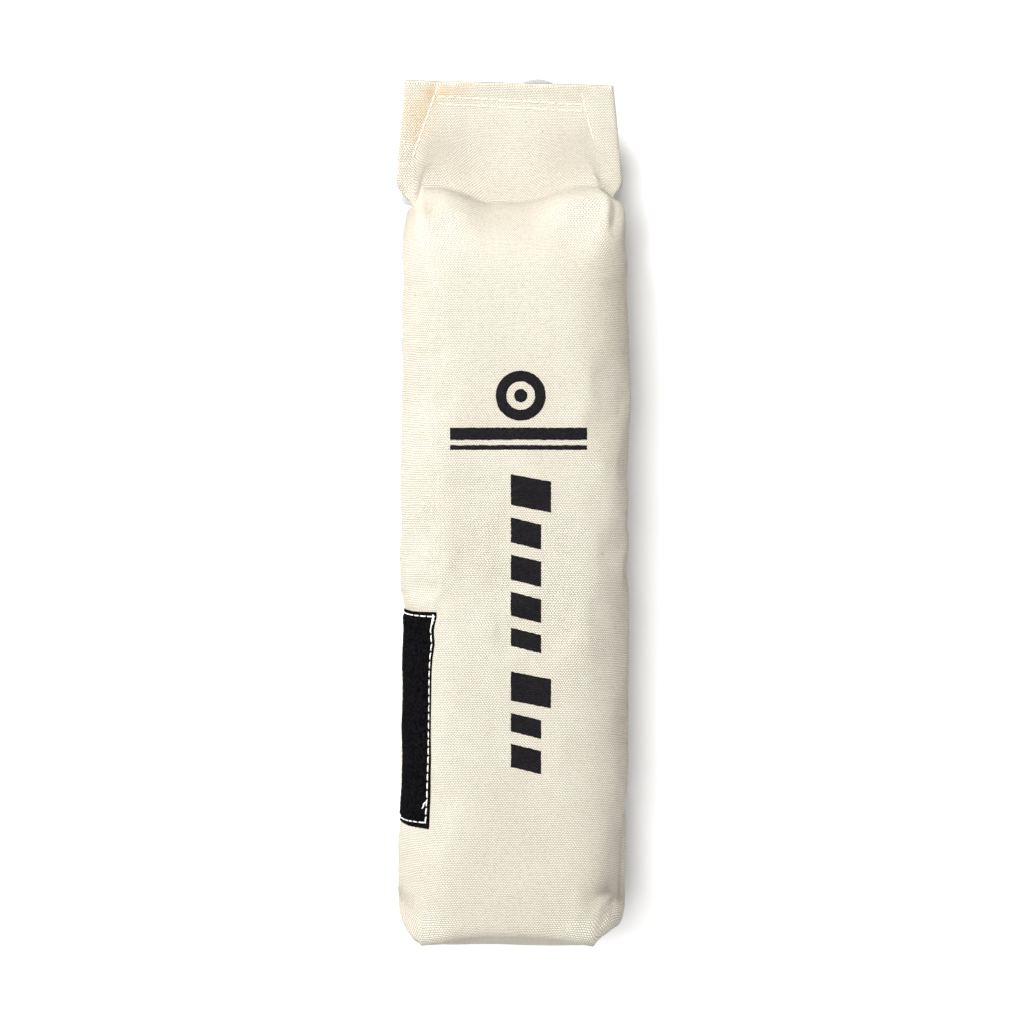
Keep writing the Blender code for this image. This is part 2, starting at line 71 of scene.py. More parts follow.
# The bumper's own sizes in millimetres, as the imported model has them.
# "s" is the distance from the base towards the head, "y" is sideways from the middle and
# "z" is the height from the mid plane, where the two side seams lie.
LENGTH = 304.8
MID_Z = 31.0
HALF_WIDTH = 39.4
HALF_DEPTH = 31.0
CANVAS = 0.9
CORNER_RADIUS = 18.0
SEAM_Z = 0.15
SEAM_DIP = 1.0
SEAM_DIP_REACH = 12.0
DIP_RADIUS = 20.0
BASE_LOW = 0.5
BASE_EDGE = 12.0
BASE_SEAM_HALF = 29.0
BASE_RISE = 4.6
BASE_DOME_HALF = 34.0
BASE_SQUARE = 0.62
SHOULDER_S = 226.0
NECK_S = 260.5
NECK_HALF_WIDTH = 34.6
NECK_HALF_DEPTH = 2.45
TUCK_DEPTH = 22.0
FOLD_RADIUS = 1.08
FLAP_OUTLINE_S = (260.5, 262.4, 264.5, 266.6, 268.6, 270.0, LENGTH)
FLAP_OUTLINE_HALF = (34.6, 35.3, 37.6, 39.3, 39.9, 39.9, 36.9)

# The loop strip: its lower corner, its size and the slight angle that it is sewn at
STRIP_LOW = 44.3
STRIP_NEAR = 7.2
STRIP_LENGTH = 75.0
STRIP_WIDTH = 25.4
STRIP_SKEW_LOW = 0.05
STRIP_SKEW_HIGH = 0.08
STRIP_TURN = 0.037
STRIP_SEAM = 1.5

# The flap's stitch rows, each from its left or upper end to the other, as (s, y)
HEM_UPPER = ((298.4, -25.2), (296.6, 25.6))
HEM_LOWER = ((295.9, -25.6), (294.2, 26.2))
LEFT_TUCK = ((301.8, -25.4), (276.8, -34.2))
RIGHT_TUCK = ((301.0, 25.4), (283.0, 29.8))
STITCH_LINES = (HEM_UPPER, HEM_LOWER, LEFT_TUCK, RIGHT_TUCK)

# Dents in the front: start and end as (s, y), width and depth, where below 0 is a swelling.
# The shoulders' dents show on the upper face, the base's also lower down its sides.
SHOULDER_DENTS = (
    ((259.0, 34.0), (243.0, 17.0), 6.0, 3.0),
    ((255.0, 40.0), (240.0, 27.0), 4.5, -1.0),
    ((260.0, -34.5), (253.0, -25.0), 3.2, 2.6),
)
BASE_DENTS = (
    ((20.5, 37.0), (17.5, 26.0), 3.4, 1.7),
    ((13.0, 33.0), (12.0, 27.0), 3.0, -0.6),
    ((25.0, -38.0), (22.0, -28.0), 3.0, 0.7),
    ((32.0, -39.0), (31.0, -31.0), 2.6, 0.5),
)

# Grid of each casing half
COLUMNS = 151
END_ROWS = 12
EDGE_ROWS = 10
BODY_STEP = 1.6
NECK_STEP = 0.8
FLAP_ROWS = 31
FLAP_ROWS_S = 266.0

# A half never comes closer than this to the mid plane, and its upper face starts at the other
LOWEST = 0.12
UPPER_FACE_Z = 1.9

# How far the print stands over the cloth, and about how far apart its points are
INK_LIFT = 0.13
INK_STEP = 0.8

# Pitches of the duck weave, which is finer along the cloth than across it
YARN_ACROSS = 0.90
YARN_ALONG = 0.60

# The short cloth run: every third point, its frames, and how far it may move the cloth
SETTLE_STEP = 3
SETTLE_FRAMES = 16
SETTLE_CAP = 0.9
BROAD_PASSES = 24
CLOTH_SETTINGS = {
    "quality": 6,
    "mass": 0.25,
    "tension_stiffness": 25.0,
    "compression_stiffness": 25.0,
    "shear_stiffness": 6.0,
    "bending_stiffness": 1.2,
    "use_pressure": True,
    "uniform_pressure_force": 1.5,
    "shrink_min": -0.022,
    "vertex_group_mass": "held",
    "pin_stiffness": 3.0,
}

# The loop tape's grid and the number and half width of the loops on it
TAPE_ROWS = 116
TAPE_COLUMNS = 42
LOOPS = 6500
LOOP_HALF_WIDTH = 0.075

# The cord's radius, and its hank: two ends, middle line, two lanes and two layers
CORD_RADIUS = 1.6
HANK_LOW_S = 272.8
HANK_HIGH_S = 297.4
HANK_Y = 9.0
LANE_INNER = 6.4
LANE_OUTER = 9.6
LAYER_LOW = 2.55 - MID_Z
LAYER_HIGH = 6.2 - MID_Z
KNOT_S = 279.0
KNOT_Z = 4.0 - MID_Z

# The hank's turns: where each one's middle is, its radius, first angle, sweep and height
HANK_TURNS = (
    (HANK_LOW_S, LANE_OUTER, 180, -90, LAYER_LOW),
    (HANK_HIGH_S, LANE_OUTER, 90, -180, LAYER_LOW),
    (HANK_LOW_S, LANE_INNER, 270, -180, LAYER_LOW),
    (HANK_HIGH_S, LANE_INNER, 90, -180, LAYER_LOW),
    (HANK_LOW_S, LANE_INNER, 270, -180, LAYER_HIGH),
    (HANK_HIGH_S, LANE_OUTER, 90, -180, LAYER_HIGH),
    (HANK_LOW_S, LANE_OUTER, 270, -165, LAYER_HIGH),
)


def to_world(s, y, z):
    return Vector(((LENGTH / 2 - s) * MM, y * MM, (MID_Z + z) * MM))


def lerp(a, b, t):
    return a + (b - a) * t


def smooth(value):
    """0 below 0, 1 above 1 and an even curve between them."""
    value = min(1.0, max(0.0, value))
    return value * value * (3.0 - 2.0 * value)


def ramp(value, start, span):
    """0 up to start, 1 from start + span on and an even curve between them."""
    return smooth((value - start) / span)


def bell(value, centre, width):
    return math.exp(-((value - centre) / width) ** 2)


def waver(x, y, z):
    """Smooth noise between about -1 and 1."""
    return noise.noise(Vector((x, y, z)))


def travelled(points):
    """Distance along a line of points from its first one."""
    steps = np.linalg.norm(np.diff(points, axis=0), axis=1)
    return np.concatenate(([0.0], np.cumsum(steps)))


# ---- the casing's cross-section

def shoulder_share(s):
    """1 along the body, falling to 0 over the shoulder at the neck."""
    along = min(1.0, max(0.0, (s - SHOULDER_S) / (NECK_S - SHOULDER_S)))
    return (1 - along ** 2.6) ** 0.8


def flap_half_width(s):
    """Narrow at the neck, rounding out to the flap's lower corners, then tapering to its top."""
    return float(np.interp(s, FLAP_OUTLINE_S, FLAP_OUTLINE_HALF))


def section_shape(s):
    """Half width, half depth, tuck depth, ridge height and corner radius at s."""
    if s >= NECK_S:
        return flap_half_width(s), NECK_HALF_DEPTH, TUCK_DEPTH, SEAM_Z, FOLD_RADIUS
    share = shoulder_share(s)
    half_width = lerp(NECK_HALF_WIDTH, HALF_WIDTH, share ** 0.7)
    half_depth = lerp(NECK_HALF_DEPTH, HALF_DEPTH, share)
    tuck = lerp(TUCK_DEPTH, SEAM_DIP, share)
    ridge = lerp(SEAM_Z, SEAM_DIP_REACH, share)
    corner = lerp(FOLD_RADIUS, CORNER_RADIUS, share)
    return half_width, half_depth, tuck, ridge, corner


def fillet(previous, corner, following, radius, count):
    """Points round a corner between two others."""
    before = (previous - corner).normalized()
    after = (following - corner).normalized()
    inside = math.acos(max(-1.0, min(1.0, before.dot(after))))
    if inside > math.pi - 0.01:
        return [corner.copy()]
    reach = radius / math.tan(inside / 2)
    centre = corner + (before + after).normalized() * (radius / math.sin(inside / 2))
    first = corner + before * reach - centre
    last = corner + after * reach - centre
    angle = math.pi - inside
    points = []
    for i in range(count):
        t = i / (count - 1)
        mixed = first * math.sin((1 - t) * angle) + last * math.sin(t * angle)
        points.append(centre + mixed / math.sin(angle))
    return points


def half_line(shape, share, folded):
    """Right half of a panel's section, from the side seam up to the middle."""
    half_width, half_depth, tuck, ridge, corner = shape
    seam = Vector((half_width - tuck, SEAM_Z))
    side = Vector((half_width, ridge))
    edge = Vector((half_width, half_depth))
    middle = Vector((0.0, half_depth))
    ridge_radius = FOLD_RADIUS if folded else lerp(FOLD_RADIUS, DIP_RADIUS, share ** 2)
    turn = math.pi - math.acos((seam - side).normalized().dot((edge - side).normalized()))
    room = (edge - side).length
    side_reach = ridge_radius * math.tan(turn / 2)
    if side_reach + corner > room:
        shrink = room / (side_reach + corner) * 0.97
        ridge_radius *= shrink
        corner *= shrink
    line = [seam] + fillet(seam, side, edge, ridge_radius, 12)
    line += fillet(side, edge, middle, corner, 24) + [middle]
    return line


def resample(line, count):
    """The line's points again, evenly spaced along it."""
    points = np.array([(p.x, p.y) for p in line])
    along = travelled(points)
    places = np.linspace(0.0, along[-1], count)
    return np.column_stack([np.interp(places, along, points[:, k]) for k in (0, 1)])


def panel_row(s, inset_y=0.0, inset_z=0.0, corner_loss=0.0):
    """A whole panel's section at s as rows of (s, y, z), from the left seam to the right."""
    half_width, half_depth, tuck, ridge, corner = section_shape(s)
    shape = (half_width - inset_y, half_depth - inset_z, tuck,
             ridge * (1 - 0.5 * inset_z / HALF_DEPTH), corner - corner_loss)
    right = resample(half_line(shape, shoulder_share(s), s >= NECK_S), COLUMNS // 2 + 1)
    left = right.copy()
    left[:, 0] *= -1
    flat = np.vstack((left, right[-2::-1]))
    return np.column_stack((np.full(len(flat), s), flat))


def base_set_back(row):
    """How far the base's rim sits behind its seam at each point of a row: most in the middle."""
    return BASE_RISE * (1 - np.clip(np.abs(row[:, 1]) / BASE_DOME_HALF, 0.0, 1.0) ** 2)


def base_rows():
    """Rows from the base seam over the domed end and round its edge to the first side row."""
    inset_y, inset_z, corner_loss = 6.0, 7.5, 7.0
    rim = panel_row(BASE_EDGE, inset_y, inset_z, corner_loss)
    fraction = np.linspace(-1.0, 1.0, COLUMNS)
    rows = []
    for i in range(END_ROWS):
        t = i / END_ROWS
        share = t ** 0.85
        row = np.zeros((COLUMNS, 3))
        row[:, 1] = lerp(fraction * BASE_SEAM_HALF, rim[:, 1], share)
        row[:, 2] = np.maximum(SEAM_Z, lerp(SEAM_Z, rim[:, 2], share))
        row[:, 0] = BASE_LOW + base_set_back(row) * t ** 2.6 + 0.9 * (1 - t) ** 6
        rows.append(row)
    for i in range(EDGE_ROWS + 1):
        angle = math.radians(90.0 * (1 - i / EDGE_ROWS))
        part = 1 - max(0.0, math.cos(angle)) ** BASE_SQUARE
        row = panel_row(BASE_EDGE, inset_y * part, inset_z * part, corner_loss * part)
        low = BASE_LOW + base_set_back(row)
        row[:, 0] = low + (BASE_EDGE - low) * (1 - math.sin(angle) ** BASE_SQUARE)
        rows.append(row)
    return rows


def casing_grid():
    """Half of the casing and flap, front side up, as an array of rows, columns and (s, y, z)."""
    stations = np.concatenate((
        np.arange(BASE_EDGE + BODY_STEP, SHOULDER_S, BODY_STEP),
        np.arange(SHOULDER_S, NECK_S - 0.2, NECK_STEP),
        np.arange(NECK_S, FLAP_ROWS_S, NECK_STEP),
        np.linspace(FLAP_ROWS_S + NECK_STEP, LENGTH, FLAP_ROWS)))
    return np.array(base_rows() + [panel_row(s) for s in stations])


# ---- shaping of the cloth

def neck_lobes(s, y, z):
    """How far the shoulders climb past the neck beside its middle: the fold's shallow smile."""
    if z < UPPER_FACE_Z:
        return 0.0
    side = abs(y)
    spread = ramp(s, 259.0, 26.0)
    outer = smooth((side - lerp(30.5, 22.0, spread)) / lerp(3.5, 14.0, spread))
    across = ramp(side, 5.0, 20.0) * (1 - outer)
    along = ramp(s, 240.0, 19.0) * (1 - ramp(s, 262.0, 30.0))
    return 6.6 * across * along


def dent(s, y, start, end, width, depth):
    """A straight soft valley from start to end, both (s, y)."""
    line = (end[0] - start[0], end[1] - start[1])
    length = math.hypot(*line)
    line = (line[0] / length, line[1] / length)
    along = (s - start[0]) * line[0] + (y - start[1]) * line[1]
    side = (s - start[0]) * -line[1] + (y - start[1]) * line[0]
    fade = smooth((along + width * 0.6) / width) * smooth((length - along + width * 0.6) / width)
    taper = 1 - 0.6 * smooth(along / length)
    return depth * taper * fade * math.exp(-(side / width) ** 2)


def front_relief(s, y, z):
    """Lift of the front's surface in millimetres: crown, dents, ripples and slack."""
    top = ramp(z, 6.0, 14.0)
    body = 1 - ramp(s, 238.0, 20.0)
    lift = 1.3 * top * body * (1 - (y / 40.0) ** 2) * smooth(s / 30.0)
    for shape in SHOULDER_DENTS:
        lift -= top * dent(s, y, *shape)
    if y > 0:
        ledge = ramp(z, 11.0, 3.0) * (1 - ramp(z, 23.0, 7.0))
        lift -= 1.7 * ledge * ramp(s, 7.0, 7.0) * (1 - ramp(s, 36.0, 24.0))
    for shape in BASE_DENTS:
        lift -= dent(s, y, *shape) * smooth(z / 10.0)
    slack = waver(s * 0.030, y * 0.036, z * 0.036 + 3.7)
    lift += 0.75 * slack * (0.4 + 0.6 * top) * body
    ripple = waver(s * 0.085, y * 0.075, z * 0.075)
    lift += 0.32 * ripple * body
    return lift


def back_relief(s, y, z):
    """Lift of the back's surface: mostly pressed flat by its weight on the floor."""
    side = 1 - ramp(z, 14.0, 12.0)
    body = 1 - ramp(s, 238.0, 20.0)
    slack = waver(s * 0.032, y * 0.036, 11.3 - z * 0.036)
    ripple = waver(s * 0.085, y * 0.075, 5.1 - z * 0.075)
    return (0.55 * slack + 0.28 * ripple) * body * side


def seam_pucker(s, z, phase):
    """Small gathers that run out of the side seam."""
    fade = math.exp(-(z / 5.5) ** 2) * ramp(s, 8.0, 10.0) * (1 - ramp(s, 228.0, 12.0))
    wave = waver(s * 0.21, phase, 0.4) + 0.4 * math.sin(s * 0.95 + phase * 3.0)
    return 0.42 * fade * wave


def base_corner(s, y):
    """The boxed base corners: the rounded side sits a little behind the flat end's tip."""
    if s > 27.0:
        return 0.0
    if y > 0:
        back = 3.6 * ramp(y, 27.8, 3.2) + 3.4 * ramp(y, 30.3, 5.5)
    else:
        back = 1.4 * ramp(-y, 30.5, 1.8) + 6.0 * ramp(-y, 31.5, 8.5)
    return back * (1 - ramp(s, 5.0, 21.0))


def flap_relief(s, y, z, front):
    """Pillow, stitch valleys and the soft edge of the head flap."""
    on = ramp(s, 263.0, 4.0)
    if z < UPPER_FACE_Z or on == 0.0:
        return 0.0
    lift = 0.0
    if front:
        stitched = stitch_valley(s, y)
        pillow = (1 - (y / 42.0) ** 4) * ramp(s, 262.0, 10.0) * (1 - ramp(s, 284.0, 12.0))
        lift += 0.7 * pillow - 0.55 * stitched
        lift -= dent(s, y, (291.0, -14.5), (285.5, -16.0), 1.6, 0.55)
        lift += 0.22 * waver(s * 0.11, y * 0.09, 1.7)
    else:
        lift += 0.5 * waver(s * 0.09, y * 0.07, 8.2) + 0.3
    lift -= 1.2 * ramp(abs(y), 30.0, 7.0) * bell(s, 264.0, 5.0)
    return lift * on


def line_distance(s, y, start, end):
    """Distance to the straight line between two (s, y) ends."""
    span = (end[0] - start[0], end[1] - start[1])
    t = ((s - start[0]) * span[0] + (y - start[1]) * span[1]) / (span[0] ** 2 + span[1] ** 2)
    t = min(1.0, max(0.0, t))
    return math.hypot(s - start[0] - span[0] * t, y - start[1] - span[1] * t)


def stitch_valley(s, y):
    """1 on a stitch row of the flap, falling to 0 beside it."""
    nearest = min(line_distance(s, y, start, end) for start, end in STITCH_LINES)
    return math.exp(-(nearest / 1.5) ** 2)


def strip_skew(along):
    """Slant of the strip's rows, which its two ends don't quite share."""
    return lerp(STRIP_SKEW_LOW, STRIP_SKEW_HIGH, along / STRIP_LENGTH)


def strip_press(s, arc):
    """How far the sewn-on strip presses the cloth in."""
    along = s - STRIP_LOW
    along += strip_skew(along) * (arc - STRIP_NEAR)
    across = arc - STRIP_NEAR - STRIP_TURN * along
    edge = min(along, STRIP_LENGTH - along, across, STRIP_WIDTH - across)
    return 0.95 * smooth((edge + 1.2) / 2.2)


def arc_lengths(grid):
    """Distance along each row of the grid from its first column."""
    steps = np.linalg.norm(np.diff(grid, axis=1), axis=2)
    arcs = np.zeros(grid.shape[:2])
    arcs[:, 1:] = np.cumsum(steps, axis=1)
    return arcs


def grid_normals(grid):
    """Outward unit normals of a front-side-up grid of (s, y, z)."""
    along = np.gradient(grid, axis=0)
    across = np.gradient(grid, axis=1)
    normals = np.cross(along, across)
    length = np.linalg.norm(normals, axis=2, keepdims=True)
    return normals / np.maximum(length, 1e-9)


def keep_apart(grid, front):
    """Keep a casing half off the mid plane, and the back out of the floor."""
    grid[:, :, 2] = np.clip(grid[:, :, 2], LOWEST, None if front else HALF_DEPTH)


def share_past(values, start, span):
    """0 up to start, 1 from start + span on and straight between them."""
    return np.clip((values - start) / span, 0.0, 1.0)


def shaped_grid(front):
    """One casing half with its relief, still front side up for either half."""
    grid = casing_grid()
    normals = grid_normals(grid)
    relief = front_relief if front else back_relief
    arcs = arc_lengths(grid)
    shaped = grid.copy()
    for r in range(grid.shape[0]):
        for c in range(grid.shape[1]):
            s, y, z = grid[r, c]
            lift = relief(s, y, z)
            lift += seam_pucker(s, z, 1.3 if y < 0 else 4.9)
            lift += flap_relief(s, y, z, front)
            if front and 35.0 < s < 130.0:
                lift -= strip_press(s, arcs[r, c])
            shaped[r, c] = grid[r, c] + normals[r, c] * lift
            shaped[r, c, 0] += base_corner(s, y)
            if front:
                shaped[r, c, 0] += neck_lobes(s, y, z)
    keep_apart(shaped, front)
    return shaped


def lean(grid):
    """Nothing sewn is quite straight: the shoulders sit a touch to the right of the base."""
    leaned = grid.copy()
    s = grid[:, :, 0]
    y = grid[:, :, 1]
    middle = share_past(s, 22.0, 22.0) * share_past(s, 250.0, -60.0)
    leaned[:, :, 1] += -0.25 + 1.2 * share_past(s, 20.0, 215.0) + 0.65 * middle
    leaned[:, :, 1] -= 1.95 * share_past(s, 238.0, 28.0)
    leaned[:, :, 1] += 3.0 * np.exp(-((s - 257.0) / 7.0) ** 2) * share_past(y, 14.0, 16.0)
    leaned[:, :, 0] += 1.3 * np.exp(-((s - 259.5) / 5.5) ** 2) * (1 + y / 35.0)
    leaned[:, :, 0] -= 0.9 * share_past(s, 272.0, 30.0) * (1 + y / 36.0)
    return leaned


# ---- mesh helpers

def link(name, data):
    thing = bpy.data.objects.new(name, data)
    bpy.context.scene.collection.objects.link(thing)
    return thing


def shade_smooth(mesh):
    mesh.polygons.foreach_set("use_smooth", [True] * len(mesh.polygons))


def dress(piece, body, slot, *nodes):
    """Put the piece on the body that it rides on and hide the imported parts that it stands for; slot
    is not used.
    """
    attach(piece, body)
    if nodes:
        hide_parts(*nodes)


def grid_faces(rows, columns):
    """Quads between points that are numbered row by row."""
    faces = []
    for r in range(rows - 1):
        for c in range(columns - 1):
            a = r * columns + c
            faces.append((a, a + 1, a + columns + 1, a + columns))
    return faces


def mesh_from(name, points, faces, material):
    mesh = bpy.data.meshes.new(name)
    mesh.from_pydata([tuple(p) for p in points], [], faces)
    mesh.materials.append(material)
    return mesh


def add_weave_layer(mesh, places):
    """Store where each point lies in the weave, given in millimetres across and along."""
    layer = mesh.uv_layers.new(name="weave")
    corner_vertex = np.empty(len(mesh.loops), dtype=np.int64)
    mesh.loops.foreach_get("vertex_index", corner_vertex)
    layer.data.foreach_set("uv", (places[corner_vertex] * MM).reshape(-1))


def weave_places(grid):
    """Millimetres across from the middle column and along from the base, for every point."""
    columns = grid.shape[1]
    middle = columns // 2
    across = arc_lengths(grid)
    across -= across[:, middle:middle + 1]
    along = travelled(grid[:, middle])
    return np.column_stack((across.reshape(-1), np.repeat(along, columns)))


def cloth_mesh(name, grid, front, material, flat):
    """A canvas sheet with weave coordinates, which are measured on its unwrinkled grid."""
    side = 1.0 if front else -1.0
    points = [to_world(s, y, z * side) for s, y, z in grid.reshape(-1, 3)]
    faces = grid_faces(*grid.shape[:2])
    if not front:
        faces = [quad[::-1] for quad in faces]
    mesh = mesh_from(name, points, faces, material)
    add_weave_layer(mesh, weave_places(flat))
    shade_smooth(mesh)
    piece = link(name, mesh)
    thickness = piece.modifiers.new("canvas thickness", "SOLIDIFY")
    thickness.thickness = CANVAS * MM
    thickness.offset = -1.0
    return piece


class Cloth:
    """A shaped casing half that other pieces can be laid on."""

    def __init__(self, grid, front, flat):
        self.grid = grid
        self.front = front
        self.arcs = arc_lengths(flat)
        self.normals = grid_normals(grid)
        self.first_body_row = END_ROWS + EDGE_ROWS
        self.middle = grid.shape[1] // 2

    def row(self, s):
        line = self.grid[self.first_body_row:, self.middle, 0]
        return self.first_body_row + np.interp(s, line, np.arange(len(line)))

    def column_at_y(self, row, y):
        """Column whose upper face lies at y, found between the two tuck or seam ridges."""
        line = self.grid[int(round(row)), :, 1]
        first = int(np.argmin(line))
        last = int(np.argmax(line))
        return first + np.interp(y, line[first:last + 1], np.arange(last - first + 1))

    def column_at_arc(self, row, arc):
        """Column at a distance along the cloth from the left seam."""
        line = self.arcs[int(round(row))]
        return np.interp(arc, line, np.arange(len(line)))

    def point(self, row, column, lift=0.0):
        """World point over the cloth, lift millimetres above it."""
        r = min(int(row), self.grid.shape[0] - 2)
        c = min(int(column), self.grid.shape[1] - 2)
        fr, fc = row - r, column - c
        weights = ((1 - fr) * (1 - fc), (1 - fr) * fc, fr * (1 - fc), fr * fc)
        cells = ((r, c), (r, c + 1), (r + 1, c), (r + 1, c + 1))
        place = sum(w * self.grid[cell] for w, cell in zip(weights, cells))
        normal = sum(w * self.normals[cell] for w, cell in zip(weights, cells))
        place = place + normal / np.linalg.norm(normal) * lift
        sign = 1.0 if self.front else -1.0
        return to_world(place[0], place[1], place[2] * sign)

    def at(self, s, y, lift=0.0):
        row = self.row(s)
        return self.point(row, self.column_at_y(row, y), lift)

    def at_arc(self, s, arc, lift=0.0):
        row = self.row(s)
        return self.point(row, self.column_at_arc(row, arc), lift)


def bridge(builder, first, second, closed=False):
    """Faces between two rows of points, or two rings when closed."""
    count = len(first)
    for k in range(count if closed else count - 1):
        after = (k + 1) % count
        builder.faces.new((first[k], second[k], second[after], first[after]))


def add_tube(builder, path, radii, sides):
    """A closed round tube in a bmesh, with its frame carried along the path."""
    rings = []
    side = None
    for i, point in enumerate(path):
        along = (path[min(i + 1, len(path) - 1)] - path[max(i - 1, 0)]).normalized()
        if side is None:
            helper = Vector((0, 0, 1)) if abs(along.z) < 0.9 else Vector((1, 0, 0))
            side = along.cross(helper).normalized()
        side = (side - along * side.dot(along)).normalized()
        other = along.cross(side)
        ring = []
        for k in range(sides):
            angle = 2 * math.pi * k / sides
            offset = side * math.cos(angle) + other * math.sin(angle)
            ring.append(builder.verts.new(point + offset * (radii[i] * MM)))
        rings.append(ring)
    for ring, following in zip(rings, rings[1:]):
        bridge(builder, ring, following, closed=True)
    builder.faces.new(rings[0])
    builder.faces.new(rings[-1][::-1])


def finish_builder(name, builder, material):
    bmesh.ops.recalc_face_normals(builder, faces=builder.faces)
    mesh = bpy.data.meshes.new(name)
    builder.to_mesh(mesh)
    builder.free()
    shade_smooth(mesh)
    mesh.materials.append(material)
    return link(name, mesh)


def smooth_path(points, steps):
    """Catmull-Rom curve through vectors."""
    path = []
    for i in range(len(points) - 1):
        p0 = points[max(i - 1, 0)]
        p1 = points[i]
        p2 = points[i + 1]
        p3 = points[min(i + 2, len(points) - 1)]
        for k in range(steps):
            t = k / steps
            bend = 2 * p0 - 5 * p1 + 4 * p2 - p3
            twist = 3 * p1 - p0 - 3 * p2 + p3
            path.append(0.5 * (2 * p1 + (p2 - p0) * t + bend * t * t + twist * t * t * t))
    path.append(points[-1])
    return path


# ---- materials

class Shader:
    """Small helper that builds a node tree from nested calls."""

    def __init__(self, name):
        self.material = bpy.data.materials.new(name)
        self.material.use_nodes = True
        self.tree = self.material.node_tree
        self.surface = self.tree.nodes["Principled BSDF"]

    def put(self, socket, value):
        if isinstance(value, bpy.types.NodeSocket):
            self.tree.links.new(value, socket)
        else:
            socket.default_value = value

    def add(self, kind, inputs, output=0, **settings):
        node = self.tree.nodes.new(kind)
        for key, value in settings.items():
            setattr(node, key, value)
        for key, value in inputs.items():
            self.put(node.inputs[key], value)
        return node.outputs[output]

    def math(self, operation, a, b=0.0):
        return self.add("ShaderNodeMath", {0: a, 1: b}, operation=operation)

    def times(self, a, b):
        return self.math("MULTIPLY", a, b)

    def plus(self, a, b):
        return self.math("ADD", a, b)

    def mix(self, factor, a, b):
        return self.add("ShaderNodeMix", {0: factor, 6: a, 7: b}, 2, data_type="RGBA")

    def band(self, value, low, high):
        """0 at low, 1 at high, smooth between them."""
        inputs = {"Value": value, "From Min": low, "From Max": high}
        return self.add("ShaderNodeMapRange", inputs, interpolation_type="SMOOTHSTEP")

    def layer(self, name):
        """The piece's own coordinates, whole and as two numbers."""
        place = self.add("ShaderNodeUVMap", {}, uv_map=name)
        across = self.add("ShaderNodeSeparateXYZ", {0: place})
        return place, across, across.node.outputs[1]

    def noise(self, vector, scale, detail=2.0, roughness=0.5):
        inputs = {"Vector": vector, "Scale": scale, "Detail": detail, "Roughness": roughness}
        return self.add("ShaderNodeTexNoise", inputs)

    def bump(self, height, distance, strength=1.0):
        inputs = {"Height": height, "Distance": distance, "Strength": strength}
        return self.add("ShaderNodeBump", inputs)

    def set(self, **values):
        for key, value in values.items():
            self.put(self.surface.inputs[key.replace("_", " ")], value)


def colour(red, green, blue):
    return (red, green, blue, 1.0)


def weave(shader):
    """The duck weave from the cloth's own coordinates: place, height and uneven brightness."""
    place, across, along = shader.layer("weave")
    across = shader.times(across, 1 / MM)
    along = shader.times(along, 1 / MM)
    stretched = {0: shader.times(across, 0.05), 1: shader.times(along, 1.5)}
    streak = shader.noise(shader.add("ShaderNodeCombineXYZ", stretched), 1.0)
    wander = shader.noise(place, 180.0)
    across = shader.plus(across, shader.times(wander, 1.1))
    along = shader.plus(along, shader.times(wander, 0.8))
    rows = shader.math("DIVIDE", along, YARN_ALONG)
    row_number = shader.math("FLOOR", rows)
    shift = shader.times(shader.math("MODULO", row_number, 2.0), 0.5)
    columns = shader.plus(shader.math("DIVIDE", across, YARN_ACROSS), shift)
    height = None
    for value in (columns, rows):
        centred = shader.math("SUBTRACT", shader.math("FRACT", value), 0.5)
        square = shader.times(shader.times(centred, centred), 4.0)
        hump = shader.math("SUBTRACT", 1.0, square)
        height = hump if height is None else shader.times(height, hump)
    cell = shader.add("ShaderNodeCombineXYZ", {0: shader.math("FLOOR", columns), 1: row_number})
    uneven = shader.add("ShaderNodeTexWhiteNoise", {"Vector": cell}, noise_dimensions="2D")
    size = shader.plus(shader.times(uneven, 0.5), 0.7)
    height = shader.times(shader.math("POWER", height, 0.75), size)
    shade = shader.plus(shader.times(uneven, 0.4),
                        shader.times(streak, 0.6))
    return place, height, shade


def canvas_material():
    """Natural cotton duck: cream yarns with painted tan shade in the gaps between them, uneven
    bleaching, dark seed flecks and painted tan shade on the flap's upper left.
    """
    shader = Shader("natural_canvas")
    place, height, shade = weave(shader)
    tint = shader.band(shader.noise(place, 22.0, 3.0), 0.35, 0.68)
    yarn = shader.mix(tint, colour(0.93, 0.90, 0.80), colour(0.90, 0.85, 0.735))
    # The darker tan between the yarns is painted shade in the weave's hollows
    gap_shade = shader.mix(tint, colour(0.47, 0.385, 0.27), colour(0.41, 0.325, 0.22))
    cloth = shader.mix(shader.band(height, 0.05, 0.70), gap_shade, yarn)
    streaks = shader.times(shader.band(shade, 0.40, 0.75), 0.22)
    cloth = shader.mix(streaks, cloth, colour(0.70, 0.62, 0.50))
    # Painted tan shade: the flap's shade mask, mottled by noise, mixes the cloth towards tan
    painted_tan_shade = shader.add("ShaderNodeAttribute", {}, 2, attribute_name="painted_tan_shade")
    mottled_shade = shader.times(painted_tan_shade, shader.band(shader.noise(place, 90.0, 3.0), 0.2, 0.75))
    cloth = shader.mix(shader.times(mottled_shade, 0.85), cloth, colour(0.72, 0.53, 0.32))
    cells = {"Vector": place, "Scale": 165.0, "Randomness": 1.0}
    distance = shader.add("ShaderNodeTexVoronoi", cells, 0)
    pick = shader.add("ShaderNodeSeparateColor", {0: distance.node.outputs[1]})
    near = shader.math("SUBTRACT", 1.0, shader.band(distance, 0.025, 0.055))
    chosen = shader.math("GREATER_THAN", pick, 0.84)
    fleck = shader.times(shader.times(near, chosen), 0.75)
    cloth = shader.mix(fleck, cloth, colour(0.17, 0.10, 0.05))
    normal = shader.bump(height, 0.00055, 1.0)
    shader.set(Base_Color=cloth, Normal=normal, Roughness=0.92)
    shader.set(Sheen_Weight=0.10, Sheen_Roughness=0.6, Specular_IOR_Level=0.12)
    return shader.material


